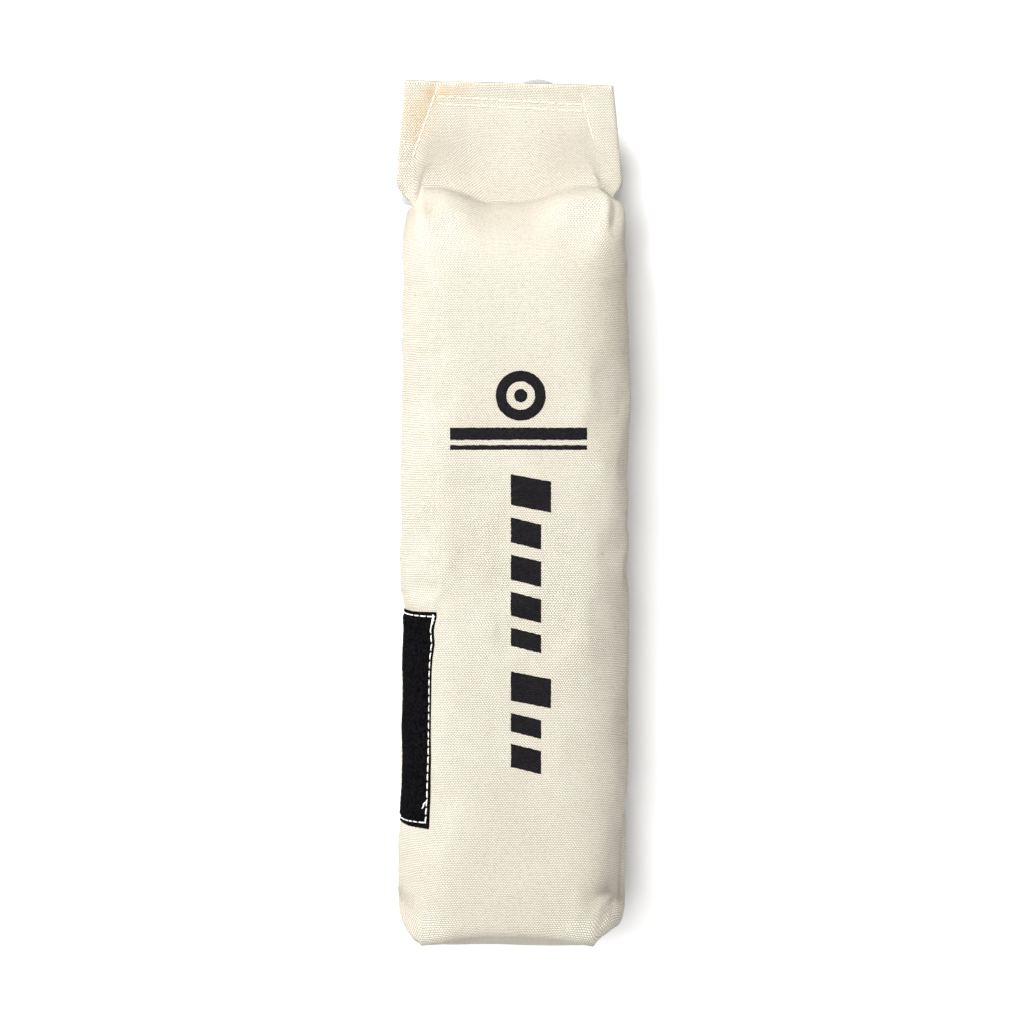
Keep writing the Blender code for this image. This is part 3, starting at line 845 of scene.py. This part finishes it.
def ink_material():
    """Black print that sits on the yarns and misses a little of the gaps."""
    shader = Shader("black_ink")
    place, height, _shade = weave(shader)
    worn = shader.band(shader.noise(place, 420.0, 3.0, 0.7), 0.46, 0.80)
    missed = shader.times(worn, shader.band(height, 0.30, 0.85))
    crowns = shader.times(shader.band(height, 0.45, 0.95), 0.5)
    pale = shader.math("MAXIMUM", crowns, missed)
    ink = shader.mix(shader.times(pale, 0.45), colour(0.005, 0.0045, 0.006),
                     colour(0.075, 0.070, 0.068))
    shader.set(Base_Color=ink, Normal=shader.bump(height, 0.00022, 0.9), Roughness=0.85)
    shader.set(Specular_IOR_Level=0.08)
    return shader.material


# Plain materials: dark and light colour, grain scale, bump, roughness and specular level
PLAIN_LOOKS = {
    "cream_thread": ((0.56, 0.50, 0.38), (0.86, 0.82, 0.71), 2600.0, 0.0002, 0.6, 0.5),
    "white_thread": ((0.68, 0.67, 0.63), (0.93, 0.92, 0.88), 2600.0, 0.0002, 0.6, 0.5),
    "black_loop_tape": (
        (0.0002, 0.0002, 0.0003), (0.0075, 0.0068, 0.0082), 1100.0, 0.0006, 0.95, 0.02),
    "closed_cell_foam": ((0.48, 0.48, 0.46), (0.66, 0.66, 0.63), 900.0, 0.0004, 0.8, 0.5),
    "black_band": ((0.010, 0.010, 0.011), (0.035, 0.035, 0.038), 500.0, 0.0001, 0.5, 0.5),
}


def plain_material(name):
    """A material with nothing but an even grain."""
    dark, light, scale, bump, roughness, specular = PLAIN_LOOKS[name]
    shader = Shader(name)
    grain = shader.noise(shader.add("ShaderNodeTexCoord", {}, 3), scale, 4.0, 0.6)
    shade = shader.mix(shader.band(grain, 0.3, 0.7), colour(*dark), colour(*light))
    shader.set(Base_Color=shade, Normal=shader.bump(grain, bump, 0.8))
    shader.set(Roughness=roughness, Specular_IOR_Level=specular)
    return shader.material


def cord_material():
    """Braided cord: two sets of strands crossing at a slant round it."""
    shader = Shader("braided_cord")
    place, around, along = shader.layer("braid")
    height = None
    for sign in (1.0, -1.0):
        slanted = shader.plus(along, shader.times(around, sign))
        wave = shader.math("SINE", shader.times(slanted, 6.2832))
        height = wave if height is None else shader.math("MAXIMUM", height, wave)
    fuzz = shader.noise(place, 9.0, 3.0)
    tone = shader.band(shader.plus(height, fuzz), 0.0, 1.4)
    shade = shader.mix(tone, colour(0.18, 0.18, 0.185), colour(0.40, 0.40, 0.405))
    shader.set(Base_Color=shade, Normal=shader.bump(height, 0.0003, 0.8), Roughness=0.7)
    shader.set(Sheen_Weight=0.15)
    return shader.material


def floor_material():
    shader = Shader("pale_floor")
    grain = shader.noise(shader.add("ShaderNodeTexCoord", {}, 3), 3.0)
    shade = shader.mix(grain, colour(0.93, 0.93, 0.93), colour(0.95, 0.95, 0.95))
    shader.set(Base_Color=shade, Roughness=0.9, Specular_IOR_Level=0.1)
    return shader.material


# ---- casing pieces

def add_painted_tan_shade(piece, grid):
    """Painted tan shade where the flap's upper left turns from the light, along its top band and in
    the left neck dent, stored on the cloth as a mask.
    """
    values = []
    for s, y, z in grid.reshape(-1, 3):
        # Each term is painted shade: the flap's upper left side, its top band and the left shoulder's
        # dent
        left = bell(y, -34.5, 5.6) * bell(s, 291.5, 10.0)
        top = bell(s, 300.0, 3.4) * (1 - smooth((y + 17.0) / 6.0)) * smooth((y + 36.0) / 8.0)
        neck = 0.55 * bell(y, -31.5, 3.5) * bell(s, 257.5, 3.5)
        values.append(min(1.0, left + 0.9 * top + neck) if z > UPPER_FACE_Z else 0.0)
    attribute = piece.data.attributes.new("painted_tan_shade", "FLOAT", "POINT")
    attribute.data.foreach_set("value", np.array(values, dtype=np.float32))


def coarse_casing(front, back):
    """Every third point of both halves, sewn together at the side seams and the base seam."""
    upper = front[::SETTLE_STEP, ::SETTLE_STEP].copy()
    lower = back[::SETTLE_STEP, ::SETTLE_STEP] * (1.0, 1.0, -1.0)
    shape = upper.shape[:2]
    loose = np.ones(shape, dtype=bool)
    loose[0] = loose[:, 0] = loose[:, -1] = False
    upper[~loose, 2] = 0.0
    first = np.arange(loose.size).reshape(shape)
    second = first.copy()
    second[loose] = loose.size + np.arange(loose.sum())
    faces = [first.reshape(-1)[list(quad)].tolist() for quad in grid_faces(*shape)]
    faces += [second.reshape(-1)[list(quad[::-1])].tolist() for quad in grid_faces(*shape)]
    return (first, second), np.vstack((upper.reshape(-1, 3), lower[loose])), faces


def settled_points(points, faces):
    """Blow the sewn cloth up a little with Blender's Cloth and return where it comes to rest."""
    mesh = bpy.data.meshes.new("settling")
    mesh.from_pydata([tuple(to_world(*p)) for p in points], [], faces)
    piece = link("settling", mesh)
    held = piece.vertex_groups.new(name="held")
    for number, (s, _y, z) in enumerate(points):
        weight = max(ramp(s, 259.0, 6.0), 0.5 * ramp(-z, 28.0, 2.5))
        if weight > 0:
            held.add([number], weight, "REPLACE")
    cloth = piece.modifiers.new("cloth", "CLOTH")
    for key, value in CLOTH_SETTINGS.items():
        setattr(cloth.settings, key, value)
    cloth.settings.effector_weights.gravity = 0.0
    cloth.collision_settings.use_collision = False
    cloth.point_cache.frame_end = SETTLE_FRAMES
    scene = bpy.context.scene
    for number in range(1, SETTLE_FRAMES + 1):
        scene.frame_set(number)
    shape = piece.evaluated_get(bpy.context.evaluated_depsgraph_get()).to_mesh()
    places = np.empty(len(points) * 3)
    shape.vertices.foreach_get("co", places)
    places = places.reshape(-1, 3) / MM
    bpy.data.objects.remove(piece)
    scene.frame_set(1)
    return np.column_stack((LENGTH / 2 - places[:, 0], places[:, 1], places[:, 2] - MID_Z))


def blurred(moves, numbers):
    """The moves' broad part, which is left out so that the bumper keeps its outline."""
    broad = np.zeros_like(moves)
    for half in numbers:
        field = moves[half]
        for _ in range(BROAD_PASSES):
            padded = np.pad(field, ((1, 1), (1, 1), (0, 0)), mode="edge")
            around = padded[:-2, 1:-1] + padded[2:, 1:-1] + padded[1:-1, :-2] + padded[1:-1, 2:]
            field = (field + around) / 5
        broad[half] = field
    return broad


def enlarge(field, shape):
    """Spread a field given at every third row and column over the whole grid."""
    rows, columns = (np.arange(0, count, SETTLE_STEP) for count in shape)
    wide = np.array([np.interp(np.arange(shape[1]), columns, row) for row in field])
    return np.array([np.interp(np.arange(shape[0]), rows, column) for column in wide.T]).T


def settle(front, back):
    """Both halves after a short cloth simulation, moved by no more than the cap."""
    numbers, points, faces = coarse_casing(front, back)
    moves = settled_points(points, faces) - points
    moves -= blurred(moves, numbers)
    length = np.linalg.norm(moves, axis=1, keepdims=True)
    moves *= np.minimum(1.0, SETTLE_CAP / np.maximum(length, 1e-9))
    halves = []
    for grid, half, upward in ((front, numbers[0], 1.0), (back, numbers[1], -1.0)):
        moved = grid.copy()
        share = 1 - 0.75 * share_past(grid[:, :, 0], 205.0, 35.0)
        for axis, sign in enumerate((1.0, 1.0, upward)):
            moved[:, :, axis] += sign * share * enlarge(moves[half, axis], grid.shape[:2])
        keep_apart(moved, upward > 0)
        halves.append(moved)
    return halves


def casing_half(name, front, grid, flat, canvas, nodes):
    """One canvas panel with its half of the flap, which narrows and flattens at the neck."""
    piece = cloth_mesh(name, grid, front, canvas, flat)
    add_painted_tan_shade(piece, grid if front else grid * 0.0)
    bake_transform(piece)
    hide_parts(*nodes)
    return Cloth(grid, front, flat)


def foam_core(foam):
    """The core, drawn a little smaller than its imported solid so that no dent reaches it."""
    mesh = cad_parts["foam_core"].data.copy()
    low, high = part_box("foam_core")
    middle = (Vector(low) + Vector(high)) / 2
    for vertex in mesh.vertices:
        offset = vertex.co - middle
        vertex.co = middle + Vector((offset.x * 0.94, offset.y * 0.91, offset.z * 0.88))
    mesh.materials.clear()
    mesh.materials.append(foam)
    shade_smooth(mesh)
    piece = link("foam_block", mesh)
    dress(piece, "casing", "foam", "foam_core")


# The turned hem's centre line: how far below the flap's top and how high, from the front edge
# over the top to the back
HEM_LINE = (
    (1.2, 2.5), (0.6, 2.1), (0.35, 1.0), (0.35, -1.5), (0.8, -3.0), (2.0, -3.45),
    (5.0, -3.4), (8.0, -3.3), (10.0, -3.15),
)
HEM_COLUMNS = 61
HEM_INSET = 0.15


def hem_band():
    """The mouth hem, folded over the top edge and stitched down at the back."""
    grid = []
    for down, z in HEM_LINE:
        s = LENGTH - down
        row = []
        for c in range(HEM_COLUMNS):
            share = c / (HEM_COLUMNS - 1) * 2 - 1
            y = share * (flap_half_width(s) - HEM_INSET)
            rise = 0.12 * waver(y * 0.2, s * 0.3, 2.0)
            row.append((s, y, z + rise))
        grid.append(row)
    return lean(np.array(grid))


def hem_piece(canvas):
    grid = hem_band()
    piece = cloth_mesh("mouth_hem", grid, True, canvas, grid)
    thickness = piece.modifiers["canvas thickness"]
    thickness.offset = 0.0
    thickness.thickness = 0.8 * MM
    add_painted_tan_shade(piece, grid * 0.0)
    dress(piece, "flap", "canvas", "flap_hem")


# ---- stitching

def stitch_paths(place, length, pitch, share, raised, seed):
    """One short arched path for every stitch. place takes (fraction, lift, sideways)."""
    rng = random.Random(seed)
    count = max(1, round(length / pitch))
    paths = []
    for i in range(count):
        start = (i + 0.5 - share / 2) / count
        end = (i + 0.5 + share / 2) / count
        slant = rng.uniform(-0.12, 0.12)
        path = []
        for k in range(6):
            t = k / 5
            lift = raised * (1 - (2 * t - 1) ** 4) - 0.35 * (2 * t - 1) ** 6
            path.append(place(lerp(start, end, t), lift, slant * (2 * t - 1)))
        paths.append(path)
    return paths


def stitches(name, paths, radius, material, body, node):
    builder = bmesh.new()
    for path in paths:
        count = len(path)
        radii = [radius * (0.75 + 0.25 * math.sin(math.pi * i / (count - 1))) for i in range(count)]
        add_tube(builder, path, radii, 8)
    dress(finish_builder(name, builder, material), body, "thread", node)


def flap_stitches(cloth, thread):
    """Two rows across the flap and the two slanting rows that hold its tucks."""
    rows = (
        ("flap_upper_stitches", HEM_UPPER, "hem_thread_upper", 3.0),
        ("flap_lower_stitches", HEM_LOWER, "hem_thread_lower", 3.0),
        ("left_tuck_stitches", LEFT_TUCK, "left_tuck_thread", 2.6),
        ("right_tuck_stitches", RIGHT_TUCK, "right_tuck_thread", 2.6),
    )
    for seed, (name, (start, end), node, pitch) in enumerate(rows):
        def place(t, lift, sideways, start=start, end=end):
            s = lerp(start[0], end[0], t) + sideways
            return cloth.at(s, lerp(start[1], end[1], t) - 0.8, lift)
        paths = stitch_paths(place, math.dist(start, end), pitch, 0.86, 0.12, seed)
        stitches(name, paths, 0.36, thread, "flap", node)


def strip_thickness(along, across):
    """Loop tape: thin at its cut edge, full inside its stitched border."""
    edge = min(along, STRIP_LENGTH - along, across, STRIP_WIDTH - across)
    stitched = 1 - 0.45 * bell(edge, STRIP_SEAM, 0.7)
    return (0.6 + 0.8 * smooth(edge / 3.4)) * (0.5 + 0.5 * smooth(edge / 0.5)) * stitched


def strip_point(cloth, along, across, lift):
    """A point over the strip's own rectangle, which is sewn on at a slight angle."""
    s = STRIP_LOW + along - strip_skew(along) * max(across, 5.0)
    return cloth.at_arc(s, STRIP_NEAR + across + STRIP_TURN * along, lift)


def loop_strip(cloth, tape):
    """The tape as a closed body, with a rough face and ragged edges."""
    builder = bmesh.new()
    tops = []
    bottoms = []
    for r in range(TAPE_ROWS):
        tops.append([])
        bottoms.append([])
        for c in range(TAPE_COLUMNS):
            along = STRIP_LENGTH * r / (TAPE_ROWS - 1)
            across = STRIP_WIDTH * c / (TAPE_COLUMNS - 1)
            rough = 0.16 * waver(along * 1.1, across * 1.1, 4.0)
            ragged = 0.18 * waver(along * 0.9, across * 0.9, 9.0)
            lift = strip_thickness(along, across) + rough
            for face, height in ((tops, lift), (bottoms, -0.15)):
                place = strip_point(cloth, along + ragged, across + ragged, height)
                face[-1].append(builder.verts.new(place))
    for face in (tops, bottoms[::-1]):
        for row, following in zip(face, face[1:]):
            bridge(builder, row, following)
    for end in (0, -1):
        bridge(builder, tops[end], bottoms[end])
        bridge(builder, [row[end] for row in tops], [row[end] for row in bottoms])
    dress(finish_builder("loop_tape", builder, tape), "casing", "loop_tape", "loop_strip")


def loop_pile(cloth, tape):
    """Thousands of small arched loops that make the tape's fuzzy face."""
    rng = random.Random(11)
    points = []
    faces = []
    for _ in range(LOOPS):
        along = rng.uniform(0.1, STRIP_LENGTH - 0.1)
        across = rng.uniform(0.1, STRIP_WIDTH - 0.1)
        heading = rng.uniform(0, math.pi)
        reach = rng.uniform(0.3, 0.65)
        rise = rng.uniform(0.12, 0.42)
        base = strip_thickness(along, across) - 0.1
        first = len(points)
        for k in range(5):
            forward = (k / 4 - 0.5) * 2 * reach
            lift = base + rise * math.sin(math.pi * k / 4)
            for side in (-LOOP_HALF_WIDTH, LOOP_HALF_WIDTH):
                step = forward * math.cos(heading) - side * math.sin(heading)
                slide = forward * math.sin(heading) + side * math.cos(heading)
                points.append(strip_point(cloth, along + step, across + slide, lift))
        for k in range(4):
            a = first + 2 * k
            faces.append((a, a + 1, a + 3, a + 2))
    dress(link("loop_pile", mesh_from("loop_pile", points, faces, tape)), "casing", "loop_tape")


def strip_stitches(cloth, thread):
    """The four rows round the loop strip; its front row has locking stitches and a tail."""
    low = near = STRIP_SEAM
    high = STRIP_LENGTH - STRIP_SEAM
    far = STRIP_WIDTH - STRIP_SEAM
    sides = (
        ("strip_lower_stitches", (low - 0.4, near), (low + 0.6, far), "strip_thread_bottom"),
        ("strip_upper_stitches", (high, near), (high, far), "strip_thread_top"),
        ("strip_side_stitches", (low, near), (high, near), "strip_thread_side"),
        ("strip_front_stitches", (low, far), (high, far + 0.3), "strip_thread_front"),
    )
    for seed, (name, start, end, node) in enumerate(sides):
        def place(t, lift, sideways, start=start, end=end):
            along = lerp(start[0], end[0], t)
            across = lerp(start[1], end[1], t)
            height = strip_thickness(along, across) + lift
            return strip_point(cloth, along, across + sideways, height)
        paths = stitch_paths(place, math.dist(start, end), 3.0, 0.95, 0.14, 20 + seed)
        if name == "strip_front_stitches":
            paths += locking_stitches(cloth, high, far)
            paths.append(loose_end(cloth, 9.5, far))
        stitches(name, paths, 0.27, thread, "casing", node)


def locking_stitches(cloth, along, across):
    """The machine's back-and-forth stitches that lock the row at the strip's upper corner."""
    paths = []
    for shift, lean_in in ((0.9, 0.5), (0.3, -0.4), (-0.4, 0.2), (-1.6, -0.3)):
        path = []
        for t in (0.0, 0.2, 0.4, 0.6, 0.8, 1.0):
            lift = 0.75 + 0.35 * math.sin(math.pi * t)
            sideways = 0.9 + lean_in * (2 * t - 1)
            path.append(strip_point(cloth, along + shift - 2.4 * t, across + sideways, lift))
        paths.append(path)
    return paths


def loose_end(cloth, along, across):
    """A short trimmed tail of thread."""
    spots = ((0.0, 0.0, 0.6), (-0.4, -0.3, 1.1), (-1.0, -0.7, 1.4), (-1.6, -0.6, 1.5),
             (-2.1, -0.9, 1.4), (-2.6, -1.4, 1.3))
    return [strip_point(cloth, along + a, across + b, lift) for a, b, lift in spots]


def seam_stitches(upper, lower, thread):
    """The closing seams' thread, glimpsed where the two panels meet."""
    first = upper.row(16.0)
    last = upper.row(232.0)

    def between(row, column, away, lift):
        """A point between the two panels' edges, pushed out by the stitch's own lift."""
        middle = (upper.point(row, column) + lower.point(row, column)) / 2
        return middle + Vector(away) * ((lift * 0.8 - 0.05) * MM)

    def place_left(t, lift, sideways):
        return between(lerp(first, last, t), 0, (0, -1, 0), lift)

    def place_right(t, lift, sideways):
        return between(lerp(first, last, t), COLUMNS - 1, (0, 1, 0), lift)

    def place_base(t, lift, sideways):
        return between(0, lerp(20, COLUMNS - 21, t), (1, 0, 0), lift)

    seams = (("left_seam", place_left, 216.0, 40), ("right_seam", place_right, 216.0, 41),
             ("base_seam", place_base, 46.0, 50))
    for name, place, length, seed in seams:
        paths = stitch_paths(place, length, 4.0, 0.7, 0.1, seed)
        stitches(f"{name}_stitches", paths, 0.2, thread, "casing", f"{name}_thread")


# ---- print

def ink_patch(name, cloth, ink, rows):
    """A thin printed patch from rows of (s, y) points laid on the cloth."""
    points = []
    places = []
    for s, y in [spot for row in rows for spot in row]:
        wobble = 0.16 * waver(s * 1.6, y * 1.6, 6.0)
        points.append(cloth.at(s + wobble, y + wobble, INK_LIFT))
        places.append((y, s))
    mesh = mesh_from(name, points, grid_faces(len(rows), len(rows[0])), ink)
    add_weave_layer(mesh, np.array(places))
    shade_smooth(mesh)
    dress(link(name, mesh), "casing", "canvas")


def slanted_bar(s_high, s_low, y_left, y_right, slant):
    """Rows of points that fill a bar whose right end sits further towards the base."""
    down = max(2, math.ceil(abs(s_high - s_low) / INK_STEP))
    sideways = max(2, math.ceil(abs(y_right - y_left) / INK_STEP))
    rows = []
    for i in range(down + 1):
        s = lerp(s_high, s_low, i / down)
        shares = [k / sideways for k in range(sideways + 1)]
        rows.append([(s - slant * share, lerp(y_left, y_right, share)) for share in shares])
    return rows


def disc(s_centre, y_centre, inner, outer):
    """Rows of points that fill a ring, or a whole dot when the inner radius is nearly nothing."""
    turns = [2 * math.pi * k / 72 for k in range(73)]
    rows = []
    for i in range(7):
        radius = lerp(inner, outer, i / 6)
        rows.append([(s_centre + radius * math.cos(turn), y_centre + radius * math.sin(turn))
                     for turn in turns])
    return rows


def printed_marks(cloth, ink):
    """Plain stand-ins for the print: a ring over two bars, then a run of slanted bars."""
    ink_patch("mark_ring", cloth, ink, disc(192.4, 3.0, 4.9, 8.6))
    ink_patch("mark_dot", cloth, ink, disc(192.4, 3.0, 0.02, 2.3))
    ink_patch("mark_bar_upper", cloth, ink, slanted_bar(181.4, 177.2, -21.3, 25.8, 0.0))
    ink_patch("mark_bar_lower", cloth, ink, slanted_bar(175.4, 173.8, -21.3, 25.8, 0.0))
    spans = ((165.4, 152.6, 13.4), (150.6, 139.8, 10.0), (137.8, 127.0, 10.0),
             (125.0, 114.6, 10.0), (112.6, 104.2, 10.0), (97.6, 85.4, 13.4),
             (83.4, 74.8, 10.0), (72.8, 62.6, 10.0))
    for number, (high, low, right) in enumerate(spans):
        bar = slanted_bar(high, low + 2.2, -0.4, right, 2.6)
        ink_patch(f"mark_slanted_{number}", cloth, ink, bar)


# ---- cord

def arc_points(centre_s, radius, start, turn, height):
    """Points round one end of the hank; angles in degrees from +s towards +y."""
    points = []
    count = 3 + round(abs(turn) / 45)
    for i in range(count):
        angle = math.radians(start + turn * i / (count - 1))
        points.append((centre_s + radius * math.cos(angle),
                       HANK_Y + radius * math.sin(angle), height))
    return points


def run_points(start, end):
    """Three points strictly between two others, easing sideways and up."""
    points = []
    for t in (0.25, 0.5, 0.75):
        points.append((lerp(start[0], end[0], t), lerp(start[1], end[1], smooth(t)),
                       lerp(start[2], end[2], smooth(t))))
    return points


def cord_points():
    """The whole cord from the neck to its knot, as (s, y, z)."""
    points = [
        (262.2, -29.5, -4.7), (262.3, -33.4, -5.1), (263.2, -37.2, -8.4), (264.8, -38.3, -14.5),
        (265.4, -36.4, -21.5), (264.6, -31.0, -26.6), (263.6, -23.0, LAYER_LOW),
        (263.2, -13.0, LAYER_LOW), (263.2, -5.0, LAYER_LOW), (263.2, 1.5, LAYER_LOW)]
    for number, turn in enumerate(HANK_TURNS):
        around = arc_points(*turn)
        if number > 0:
            points += run_points(points[-1], around[0])
        points += around
    points += [(273.3, 19.7, LAYER_HIGH - 0.7), (276.2, 22.2, KNOT_Z + 0.7),
               (KNOT_S, HANK_Y + 14.4, KNOT_Z), (283.4, HANK_Y + 14.9, KNOT_Z - 0.2)]
    return points


def braid_mesh(name, path, radius, sides, material):
    """A tube with its own coordinates for the braid: turns around and lengths along."""
    builder = bmesh.new()
    add_tube(builder, path, [radius] * len(path), sides)
    layer = builder.loops.layers.uv.new("braid")
    builder.verts.ensure_lookup_table()
    travelled = [0.0]
    for start, end in zip(path, path[1:]):
        travelled.append(travelled[-1] + (end - start).length)
    for face in builder.faces:
        for loop in face.loops:
            ring, place = divmod(loop.vert.index, sides)
            if place == 0 and any(other.vert.index % sides == sides - 1 for other in face.loops):
                place = sides
            loop[layer].uv = (place / sides * 4.0, travelled[ring] / (2.4 * MM))
    return finish_builder(name, builder, material)


def throw_cord(material, tie):
    path = smooth_path([to_world(*p) for p in cord_points()], 3)
    length = sum((b - a).length for a, b in zip(path, path[1:]))
    piece = braid_mesh("neck_cord", path, CORD_RADIUS, 12, material)
    knot = end_knot(material)
    band = hank_tie(tie)
    dress(piece, "casing", "cord", "throw_cord", "cord_hank")
    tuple(path[0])
    [tuple(p) for p in path]


def end_knot(material):
    """A tight barrel knot that ends the cord: it wraps twice and a half round itself."""
    centre = Vector((KNOT_S, HANK_Y + 14.6, KNOT_Z))
    points = []
    for t in np.linspace(0.0, 1.0, 47):
        radius = 1.95 * smooth(t / 0.12) * smooth((1 - t) / 0.12) + 0.3
        angle = 2 * math.pi * 2.5 * t
        along = lerp(-2.5, 2.5, t)
        points.append(to_world(centre.x + along, centre.y + radius * math.cos(angle),
                               centre.z + radius * math.sin(angle)))
    knot = braid_mesh("barrel_knot", points, 1.2, 10, material)
    dress(knot, "casing", "cord", "cord_knot")
    return knot


def hank_tie(material):
    """A flat band round the hank's middle, with rounded corners."""
    middle = (HANK_LOW_S + HANK_HIGH_S) / 2
    half_y, half_z, centre_z, round_by = 11.8, 4.1, 4.4, 3.2
    outline = []
    for corner_y, corner_z, start in ((1, 1, 0), (-1, 1, 90), (-1, -1, 180), (1, -1, 270)):
        for i in range(6):
            angle = math.radians(start + 18 * i)
            outline.append((HANK_Y + corner_y * (half_y - round_by) + round_by * math.cos(angle),
                            centre_z + corner_z * (half_z - round_by) + round_by * math.sin(angle)))
    builder = bmesh.new()
    loops = []
    for s, grow in ((-2.3, 0.0), (-2.3, 0.55), (0.0, 0.75), (2.3, 0.55), (2.3, 0.0)):
        loop = []
        for y, z in outline:
            away = Vector((y - HANK_Y, z - centre_z)).normalized() * (grow - 0.5)
            height = max(0.05, z + away.y)
            loop.append(builder.verts.new(to_world(middle + s, y + away.x, height - MID_Z)))
        loops.append(loop)
    for first, second in zip(loops, loops[1:] + loops[:1]):
        bridge(builder, first, second, closed=True)
    piece = finish_builder("hank_band", builder, material)
    dress(piece, "casing", "tie", "cord_tie")
    return piece


# ---- floor, light and camera

def floor():
    corners = [(-4, -4, 0), (4, -4, 0), (4, 4, 0), (-4, 4, 0)]
    link("floor", mesh_from("floor", corners, [(0, 1, 2, 3)], floor_material()))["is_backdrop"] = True


def lamp(name, kind, place, target, **settings):
    """A light at place that shines towards target."""
    data = bpy.data.lights.new(name, kind)
    for key, value in settings.items():
        setattr(data, key, value)
    light = link(name, data)
    light.location = place
    light.rotation_euler = (Vector(target) - Vector(place)).to_track_quat("-Z", "Y").to_euler()


def lighting():
    """Two soft lamps from above, one from the side and a wide even light for the far floor."""
    lamp("key", "AREA", (-0.62, -0.42, 0.85), (-0.05, 0.0, 0.03), shape="DISK", size=0.45,
         energy=12.2, color=(1.0, 0.99, 0.97))
    lamp("top", "AREA", (0.06, -0.16, 1.5), (0.03, 0.0, 0.0), shape="DISK", size=0.7, energy=8.5)
    lamp("side", "AREA", (0.0, -0.95, 0.75), (0.0, 0.0, 0.02), shape="DISK", size=0.5, energy=3.6)
    lamp("overhead", "SUN", (0.06, -0.16, 1.5), (0, 0, 0), energy=2.1, angle=math.radians(26.0))
    world = bpy.data.worlds.new("studio")
    world.use_nodes = True
    bpy.context.scene.world = world
    bpy.context.scene.view_settings.view_transform = "Standard"
    world_light(world.node_tree)


def world_light(tree):
    """Light from all round that is brighter near the horizon than overhead."""
    background = tree.nodes["Background"]
    background.inputs["Color"].default_value = colour(1.0, 0.965, 0.935)
    direction = tree.nodes.new("ShaderNodeTexCoord").outputs["Generated"]
    height = tree.nodes.new("ShaderNodeSeparateXYZ")
    fade = tree.nodes.new("ShaderNodeMapRange")
    ends = {"From Min": 0.10, "From Max": 0.32, "To Min": 0.50, "To Max": 0.07}
    for key, value in ends.items():
        fade.inputs[key].default_value = value
    tree.links.new(direction, height.inputs[0])
    tree.links.new(height.outputs["Z"], fade.inputs["Value"])
    tree.links.new(fade.outputs["Result"], background.inputs["Strength"])


def camera():
    data = bpy.data.cameras.new("camera")
    data.lens = 120.0
    data.sensor_width = 36.0
    view = link("camera", data)
    view.location = (0.0, 0.0, 1.237)
    view.rotation_euler = (0.0, 0.0, math.pi / 2)
    bpy.context.scene.camera = view


# ---- building

def write_size():
    for name, (low, high) in (("cad", CAD_BOX), ("visual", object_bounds())):
        {"low": list(low), "high": list(high)}


def main():
    camera()
    lighting()
    floor()
    canvas = canvas_material()
    ink = ink_material()
    cream_thread = plain_material("cream_thread")
    tape = plain_material("black_loop_tape")
    throw_cord(cord_material(), plain_material("black_band"))
    front = shaped_grid(True)
    back = shaped_grid(False)
    front, back = settle(front, back)
    flat = casing_grid()
    upper = casing_half(
        "canvas_front", True, lean(front), flat, canvas, ("front_panel", "flap_front"))
    lower = casing_half(
        "canvas_back", False, lean(back), flat, canvas, ("back_panel", "flap_back"))
    foam_core(plain_material("closed_cell_foam"))
    hem_piece(canvas)
    loop_strip(upper, tape)
    loop_pile(upper, tape)
    flap_stitches(upper, cream_thread)
    strip_stitches(upper, plain_material("white_thread"))
    seam_stitches(upper, lower, cream_thread)
    printed_marks(upper, ink)
    write_size()


main()
